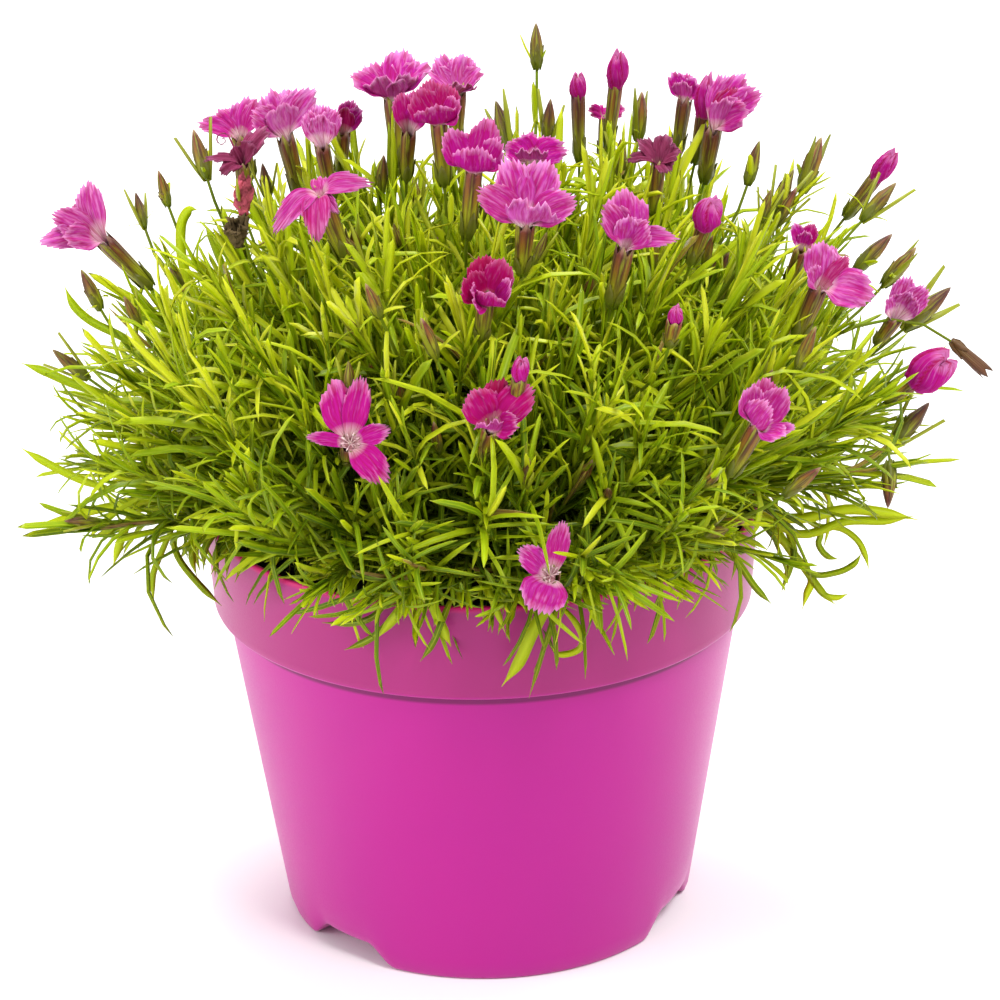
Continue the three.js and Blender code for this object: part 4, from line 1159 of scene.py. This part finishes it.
def head_tree(shapes):
    """Sets calyxes and buds on the ends of their stems."""
    nodes, given, out = group(
        "Calyxes And Buds", "GeometryNodeTree", dict(heads="Geometry"), feet="Geometry",
        swell=1.0, skin="Material")
    turn = nodes.add("FunctionNodeEulerToRotation", {0: nodes.read("turn", "FLOAT_VECTOR")})
    swell = nodes.vector(given["Swell"], given["Swell"], 1.0)
    size = nodes.add("ShaderNodeVectorMath", {0: nodes.read("size", "FLOAT_VECTOR"), 1: swell},
                     operation="MULTIPLY")
    placed = nodes.drawn(given["Feet"], shapes, nodes.read("form", "INT"), turn, size)
    ripe = nodes.stored(placed, "ripe", nodes.read("ripeness"))
    nodes.link(nodes.solid(ripe, given["Skin"]), out[0])
    return nodes.tree


CALYX_RADIUS = {"fan": 2.15, "flat": 2.1, "full": 2.1, "cup": 2.0, "drooping": 2.2, "half": 1.8,
                "shut": 1.75, "wilted": 1.7, "spent": 1.6}


def head_points(name, heads, rng):
    """The feet of a stalk's heads, with each one's turn, size, form and ripeness."""
    mesh = bpy.data.meshes.new(name)
    mesh.from_pydata([[c * MM for c in head[2]] for head in heads], [], [])
    turns, sizes, forms, ripes = [], [], [], []
    for kind, tip, foot, *_ in heads:
        way = Vector(tip) - Vector(foot)
        spin = Euler((0, 0, rng.uniform(0, 6.2))).to_quaternion()
        turns += list((way.to_track_quat("Z", "Y") @ spin).to_euler())
        bud = kind in ("bud", "dried")
        radius = min(max(0.17 * way.length - 0.3, 0.9), 2.2) if bud else CALYX_RADIUS[kind]
        sizes += [radius * MM, radius * MM, way.length * MM]
        forms.append(rng.choice((1, 2, 3)) if bud else 0)
        least, most = (0.2, 0.95) if bud else (0.3, 1.0)
        ripes.append(2.0 if kind == "spent" else rng.uniform(least, most))
    give_points(mesh, "turn", turns, "FLOAT_VECTOR", "vector")
    give_points(mesh, "size", sizes, "FLOAT_VECTOR", "vector")
    give_points(mesh, "form", forms, "INT")
    give_points(mesh, "ripeness", ripes)
    return put(name, mesh)


def stalk_lines(heads):
    """The stem from the crown to its fork, and from the fork to each head."""
    feet = [Vector(head[2]) for head in heads]
    way = sum(((foot - CROWN) for foot in feet), Vector((0, 0, 0))).normalized()
    fork = min(58, min((foot - CROWN).length for foot in feet) - 14)
    lines = Lines()
    lines.add(arc(CROWN + way * 10, CROWN + way * fork * 0.5, CROWN + way * fork, 5), 1.0,
              (0, 0.45))
    for i, (kind, tip, foot, *_) in enumerate(heads):
        foot, tip = Vector(foot), Vector(tip)
        start = CROWN + way * (fork - 4 * i)
        drop = (foot - tip).normalized() * (foot - start).length * 0.4
        last = 0.99 if kind == "bud" else 1.15  # leaves flank a bud and stop short of a calyx
        lines.add(arc(start, foot + drop, foot + (tip - foot).normalized() * 0.5, 8), 1.0,
                  (0.45, last))
    return lines


def merged(name, *pieces):
    """Joins pieces into the first and gives it its name."""
    bpy.ops.object.select_all(action="DESELECT")
    for piece in pieces:
        piece.select_set(True)
    bpy.context.view_layer.objects.active = pieces[0]
    bpy.ops.object.join()
    pieces[0].name = pieces[0].data.name = name
    pieces[0].select_set(False)
    return pieces[0]


# ------------------------------------------------------------------ petals

TEETH = 9  # on the edge of a petal
FACE_SKIN, BACK_SKIN, THREAD_SKIN = 0, 1, 2  # a flower's materials


def add_petal(mould, mouth, axis, tip, width, deep, rng, belly=0.0, ruffle=1.0, broadside=0.0,
              pale_foot=1.0, faded=0.0, thick=0.15):
    """A fan-shaped petal with a toothed edge. It leaves the calyx's mouth along the axis, or
    sideways where it has a belly, and bends to its tip, which is given from the mouth. Its
    inner face looks to the axis, and its blade turns towards the front as far as broadside
    says. Above 1, pale_foot draws the pale colour of the throat further up; faded goes from 0
    to 1 for a petal that is pale all over."""
    rows, columns = 11, 2 * TEETH + 1
    reach = tip.length
    aside = tip - axis * tip.dot(axis)
    across = axis.cross(aside).normalized()
    aside = aside.normalized()
    flat_on = SIGHT.cross(tip).normalized()
    flat_on *= math.copysign(1.0, flat_on.dot(across))
    knee = axis * reach * lerp(0.42, 0.08, belly) + aside * lerp(0.6, reach * 0.5, belly)
    foot = aside * 0.9 - axis * 1.4
    phase, wave = rng.uniform(0, 6.3), rng.uniform(1.6, 2.6)
    notch = [rng.uniform(*((0.92, 0.975) if c % 2 else (0.985, 1.02))) for c in range(columns)]
    grid, along, over = np.zeros((rows, columns, 3)), [], []
    for r in range(rows):
        v = r / (rows - 1)
        half = lerp(1.0, width * 0.56, smoothstep(0.0, lerp(0.7, 0.5, belly), v))
        broad = across.lerp(flat_on, smoothstep(0.1, 0.6, v) * broadside).normalized()
        for c in range(columns):
            u = 2 * c / (columns - 1) - 1
            t = v * (1 - 0.24 * u * u * v) * lerp(1.0, notch[c], smoothstep(0.78, 1.0, v))
            tangent = ((knee - foot) * (1 - t) + (tip - knee) * t).normalized()
            inward = tangent.cross(broad).normalized()
            wavy = ruffle * width * v * v * (0.09 * sin(wave * pi * u + phase)
                                             + 0.05 * sin(2.3 * wave * pi * u - phase)
                                             + 0.03 * v * v * sin(TEETH * pi * u + phase))
            cupped = lerp(0.9, 0.22, smoothstep(0.1, 0.5, v)) * half * u * u * 0.6
            grid[r, c] = (mouth + curve_at(foot, knee, tip, t) + broad * half * u * 0.96
                          + inward * (wavy + cupped))
            along.append(v ** pale_foot)
            over.append(u * 0.5 + 0.5)
    normal = np.cross(np.gradient(grid, axis=0), np.gradient(grid, axis=1))
    normal /= np.maximum(np.linalg.norm(normal, axis=2, keepdims=True), 1e-9)
    start, n = len(mould.verts), rows * columns
    shaded = lerp(0.5, 1.0, smoothstep(0.3, 0.8, belly))  # how far the back goes to crimson too
    for side, skin, colour in ((1, FACE_SKIN, deep), (-1, int(belly < 0.8), deep * shaded)):
        mould.add((grid + normal * thick / 2 * side).reshape(-1, 3),
                  grid_faces(rows, columns, flip=side > 0), skin, deep=colour, along=along,
                  across=over, faded=faded)
    edge = [*range(columns), *range(2 * columns - 1, n, columns),
            *range(n - 2, n - columns - 1, -1), *range(n - 2 * columns, 0, -columns)]
    for i, j in zip(edge, edge[1:] + edge[:1]):
        mould.faces.append((start + i, start + j, start + n + j, start + n + i))
        mould.skins.append(BACK_SKIN)


def add_furled(mould, mouth, axes, width, length, deep, rng):
    """Petals still wrapped round each other: a spindle of overlapping folds, ragged on top."""
    side, up, axis = axes
    rows, steps, folds = 14, 50, 5
    phase = rng.uniform(0, 1)
    verts, along, across, depth = [], [], [], []
    for r in range(rows + 2):
        v = min(r / (rows - 1), 1.0)
        belly = math.sqrt(1 - (max(v - 0.45, 0) / 0.6) ** 2)
        belly *= lerp(0.66, 1.0, smoothstep(0, 0.4, v))
        inner = max(r - rows + 1, 0)  # the last rows close the top from inside
        for i in range(steps):
            a = 2 * pi * i / steps
            fold = (folds * i / steps + 0.7 * v + phase) % 1
            swell = (0.86 + 0.20 * fold) * (1 - 0.45 * inner)
            ragged = (0.13 * sin(a * 2 + phase * 6) + 0.09 * sin(a * 5 + 2)) * v ** 3
            rise = length * (v * (1 + ragged) - 0.06 * inner) - 1.2 * (1 - v)
            verts.append(mouth + (side * cos(a) + up * sin(a)) * belly * swell * width / 2
                         + axis * rise)
            along.append(0.3 + 0.65 * v)
            across.append(fold)
            depth.append(min(deep + 0.9 * (1 - smoothstep(0.0, 0.22, fold)), 1.0))
    mould.add(verts, tube_faces(rows + 2, steps), along=along, across=across, deep=depth)


def add_thread(mould, points, radius, skin=THREAD_SKIN, sides=5, **marks):
    """A thin stem through the points, such as a stamen or a style."""
    verts, last = [], len(points) - 1
    for i, spot in enumerate(points):
        tangent = (points[min(i + 1, last)] - points[max(i - 1, 0)]).normalized()
        side = tangent.orthogonal().normalized()
        ahead = tangent.cross(side)
        thin = radius * (1 - 0.5 * i / last)
        for k in range(sides):
            a = 2 * pi * k / sides
            verts.append(spot + (side * cos(a) + ahead * sin(a)) * thin)
    mould.add(verts, tube_faces(len(points), sides), skin, **marks)


def add_stamens(mould, mouth, axes, rng, count=7):
    """The pale throat, and the stamens and the two styles that stand out of it, if any."""
    side, up, axis = axes
    for k in range(count + 2 if count else 0):
        a = 2 * pi * k / (count + 2) + rng.uniform(-0.3, 0.3)
        way = side * cos(a) + up * sin(a)
        tall = rng.uniform(1.5, 2.6) if k < count else 3.8
        ends = [mouth + way * 0.5 * t + axis * (tall * t - 0.8) + way * 1.3 * t * t
                for t in (0, 0.35, 0.7, 1)]
        add_thread(mould, ends, 0.14)
        if k < count:
            anther = [ends[-1] + way * x + axis * x * 0.3 for x in (-0.35, 0.0, 0.35)]
            add_thread(mould, anther, 0.24)
    rings, steps = ((1.1, -1.6), (1.1, -1.1), (0.7, -1.0), (0.3, -1.1)), 12
    verts = [mouth + (side * cos(a) + up * sin(a)) * r + axis * z
             for r, z in rings for a in (2 * pi * k / steps for k in range(steps))]
    mould.add(verts, tube_faces(len(rings), steps), FACE_SKIN, along=0.1, deep=0.4)


def flower_axes(tip, foot):
    """The flower's own axes: its side to the right, its up across that, and its axis."""
    axis = (Vector(tip) - Vector(foot)).normalized()
    side = Vector((1, 0, 0))
    side = (side - axis * side.dot(axis)).normalized()
    return side, axis.cross(side), axis


# How the petals of the other flowers stand: their tips' angle off the axis, and how deep they are.
HABITS = {"full": (66, 0.1), "cup": (38, 0.4), "half": (22, 0.2)}
BELLY = {"cup": 0.9, "full": 0.4, "flat": 0.45, "fan": 0.1, "half": 0.3}  # how bowl-shaped
BROADSIDE = {"flat": 0.25, "cup": 0.5, "half": 0.5, "wilted": 0.4}  # 0.7 for the other kinds
RUFFLE = {"wilted": 2.0, "cup": 0.6}
PALE_FOOT = {"fan": 1.45, "half": 1.3, "full": 1.2, "drooping": 1.2,
             "closed_petals_12_3": 2.2, "closed_petals_04_1": 1.8}
FADED = {"petals_01": 0.32, "petals_02": 0.10, "petals_03": 0.28, "petals_04": 0.22,
         "petals_05": 0.06, "petals_07": 0.30, "petals_10": 0.16, "petals_11": 0.12,
         "petals_12": 0.26, "petals_13": 0.12, "petals_14": 0.15, "petals_18": 0.08,
         "closed_petals_04_1": 0.35, "closed_petals_12_3": 0.3}
CURLED = "closed_petals_03_1"  # the wilted flower with a curled thread
CRUMPLE_SEED = 5
RICH = 0.35  # a flower with a petal of this depth or more shows no stamens


def corolla(name, head, number):
    """The petals of one flower, with the stamens in its throat."""
    kind, tip, foot, width, *length = head
    rng, mould = random.Random(100 + number), Mould()
    axes, mouth = flower_axes(tip, foot), Vector(tip)
    side, up, axis = axes
    petals = PETALS.get(name, ())
    habit = dict(belly=BELLY.get(kind, 0.0),
                 pale_foot=PALE_FOOT.get(name, PALE_FOOT.get(kind, 1.0)))
    if kind == "shut":
        add_furled(mould, mouth, axes, width, length[0], 0.2, rng)
    for right, upward, near, broad, deep in petals:
        add_petal(mould, mouth, axis, seen_from_front(right, upward, near), broad, deep, rng,
                  ruffle=RUFFLE.get(kind, 1.0), broadside=BROADSIDE.get(kind, 0.7),
                  faded=FADED.get(name, 0.0), **habit)
    if kind != "shut" and not petals:
        pitch, deep = HABITS[kind]
        turn = rng.uniform(0, 72)
        for i in range(5):
            a = radians(turn + 72 * i + rng.uniform(-9, 9))
            t = radians(pitch + rng.uniform(-12, 12))
            reach = width * 0.56 * rng.uniform(0.9, 1.1)
            way = (side * cos(a) + up * sin(a)) * sin(t) + axis * cos(t)
            add_petal(mould, mouth, axis, way * reach, width * 0.42,
                      deep + rng.uniform(-0.1, 0.15), rng, **habit)
    if kind in ("full", "drooping"):
        deepest = max((petal[4] for petal in petals), default=0)
        add_stamens(mould, mouth, axes, rng, 7 if kind == "full" and deepest < RICH else 0)
    if name == CURLED:
        centre = mouth + seen_from_front(-4.4, 5.6, 1)
        curl = [centre + seen_from_front((1.9 - 0.12 * k) * cos(0.62 * k),
                                         (1.9 - 0.12 * k) * sin(0.62 * k), 0) for k in range(14)]
        add_thread(mould, [mouth] + curl, 0.24, BACK_SKIN, along=0.6)
    return mould.cast(name, [WILTED, WILTED, CREAM] if kind == "wilted" else [FACE, BACK, CREAM])


def dried_bud(name, head):
    """A bud that dried before it opened, furled and salmon-red, and a brown crumple below it."""
    _, tip, foot = head
    mould, axes = Mould(), flower_axes(tip, foot)
    tip, foot = Vector(tip), Vector(foot)
    tall = (tip - foot).length * 0.8
    add_furled(mould, foot + axes[2] * 1.6, axes, 4.3, tall, 0.0, random.Random(9))
    crumple, rng = foot + seen_from_front(-1.1, -6.5, 1), random.Random(12)
    furled = len(mould.skins)
    for way in ((-1.6, 5.4, 0), (1.2, 6.2, 1), (-2.2, 2.8, 2), (1.4, 3.4, 3), (0.2, 5.0, -2)):
        add_petal(mould, crumple, UP, seen_from_front(*way), 3.4, 1.0, rng, belly=0.5, ruffle=2.6,
                  thick=0.3)
    mould.skins[furled:] = [1] * (len(mould.skins) - furled)
    noise.seed_set(CRUMPLE_SEED)  # without it, noise_vector would start from the time
    mould.verts = [tuple(v + noise.noise_vector(v * 0.8) * 0.8) for v in map(Vector, mould.verts)]
    return mould.cast(name, [DRIED, BARK])


# ------------------------------------------------------------------ the plant put together

settled(pot_shell(), "pot", slot="pot_plastic")
soil = settled(soil_heap(), "potting_soil", slot="potting_soil")
settled(crown_knot(), "root_crown", slot="woody_crown")
settled(grown(put("soil_crumbs", soil.data.copy()), soil_crumb_tree(), crumb_size=0.0014,
              density=90000.0, peat=PEAT, seed=3), slot="potting_soil")

flowers, number = [], 0
for i, heads in enumerate(STALKS):
    for k, head in enumerate(heads):
        if head[0] in OWN_COROLLA:
            number += 1
            flowers.append(settled(corolla(f"petals_{number:02d}", head, number),
                                   f"corolla_{number:02d}", slot="petal"))
        elif head[0] == "dried":
            flowers.append(settled(dried_bud(f"dried_bud_{i + 1:02d}", head), slot="petal"))
        elif head[0] not in ("bud", "spent"):
            closed = corolla(f"closed_petals_{i + 1:02d}_{k}", head, 40 + 5 * i + k)
            flowers.append(settled(closed, slot="petal"))
blossom = blossom_tree(flowers)

blades = leaf_shapes()
leafy = leafy_shoot_tree(blades)
skins = dict(leaf_skin=LEAF, stem_skin=STEM)
branch_lines, young_buds = shoots_by_branch()
for i, lines in enumerate(branch_lines):
    leaves = grown(lines.lay(f"leaves_{i + 1:02d}"), leafy, stem_radius=0.00055,
                   node_spacing=0.0037, leaf_length=MOUND["leaf"] * MM,
                   leaf_width=MOUND["leaf_width"] * MM, low_angle=0.7, tip_angle=0.16,
                   leaf_start=0.42, seed=20 + i, **skins)
    leaf_strips(thinned(leaves, blossom))
    settled(leaves, f"leafy_branch_{i + 1:02d}", slot="leaf")

settled(long_leaves(), slot="leaf")

head_set = head_shapes()
set_heads = head_tree(head_set)
settled(grown(head_points("young_buds", young_buds, random.Random(61)), set_heads, swell=0.95,
              skin=CALYX), slot="stalk_and_calyx")
for i, heads in enumerate(STALKS):
    number = f"{i + 1:02d}"
    stems = grown(stalk_lines(heads).lay(f"stems_{number}"), leafy, stem_radius=0.0006,
                  node_spacing=0.012, leaf_length=0.011, leaf_width=0.0011, low_angle=0.45,
                  tip_angle=0.66, leaf_start=0.55, leaf_end=1.0, seed=300 + i, **skins)
    leaf_strips(thinned(stems, blossom))
    tops = grown(head_points(f"tops_{number}", heads, random.Random(70 + i)), set_heads,
                 swell=1.0, skin=CALYX)
    settled(merged(f"stalk_{number}", stems, tops), f"flower_stalk_{number}",
            slot="stalk_and_calyx")

for shapes in (blades, head_set):
    for shape in list(shapes.objects):
        bpy.data.objects.remove(shape)
    bpy.data.collections.remove(shapes)


# ------------------------------------------------------------------ floor, light and camera

def stage_floor():
    mesh = bpy.data.meshes.new("floor")
    mesh.from_pydata([(-4, -4, 0), (4, -4, 0), (4, 4, 0), (-4, 4, 0)], [], [(0, 1, 2, 3)])
    mesh.materials.append(Finish("floor_white", 0.8, base_color=(0.96, 0.96, 0.96)).material)
    floor = put("floor", mesh)


def lamp(name, place, aim, size, power):
    light = bpy.data.lights.new(name, "AREA")
    light.shape, light.size, light.energy = "DISK", size, power
    place, aim = Vector(place), Vector(aim)
    put(name, light).matrix_world = Matrix.LocRotScale(
        place, (place - aim).to_track_quat("Z", "Y"), None)


def soft_light():
    world = bpy.data.worlds.new("studio")
    world.use_nodes = True
    back = world.node_tree.nodes["Background"]
    back.inputs["Color"].default_value = (1, 1, 1, 1)
    back.inputs["Strength"].default_value = 0.66
    bpy.context.scene.world = world
    lamp("key", (0.6, -0.9, 1.5), (0, 0, 0.12), 0.5, 20)
    lamp("left_wall", (-1.3, -0.5, 0.5), (0, 0, 0.1), 1.0, 10.2)
    lamp("right_wall", (1.2, 0.7, 0.5), (0, 0, 0.1), 0.6, 4)
    lamp("top_back", (-0.2, 0.7, 1.4), (0, 0, 0.15), 0.5, 16)


def camera():
    forward = Vector((0, cos(FRONT_TILT), -sin(FRONT_TILT)))
    level, upright = Vector((1, 0, 0)), Vector((0, sin(FRONT_TILT), cos(FRONT_TILT)))
    right = level * cos(CAMERA_ROLL) + upright * sin(CAMERA_ROLL)
    up = upright * cos(CAMERA_ROLL) - level * sin(CAMERA_ROLL)
    lens = bpy.data.cameras.new("camera")
    lens.sensor_width, lens.lens, lens.clip_end = 36, 157.0, 30
    holder = put("camera", lens)
    holder.matrix_world = Matrix([*zip(right, up, -forward, (c * MM for c in CAMERA_PLACE)),
                                  (0, 0, 0, 1)])
    bpy.context.scene.camera = holder


stage_floor()
soft_light()
camera()
bpy.context.scene.view_settings.view_transform = "Standard"
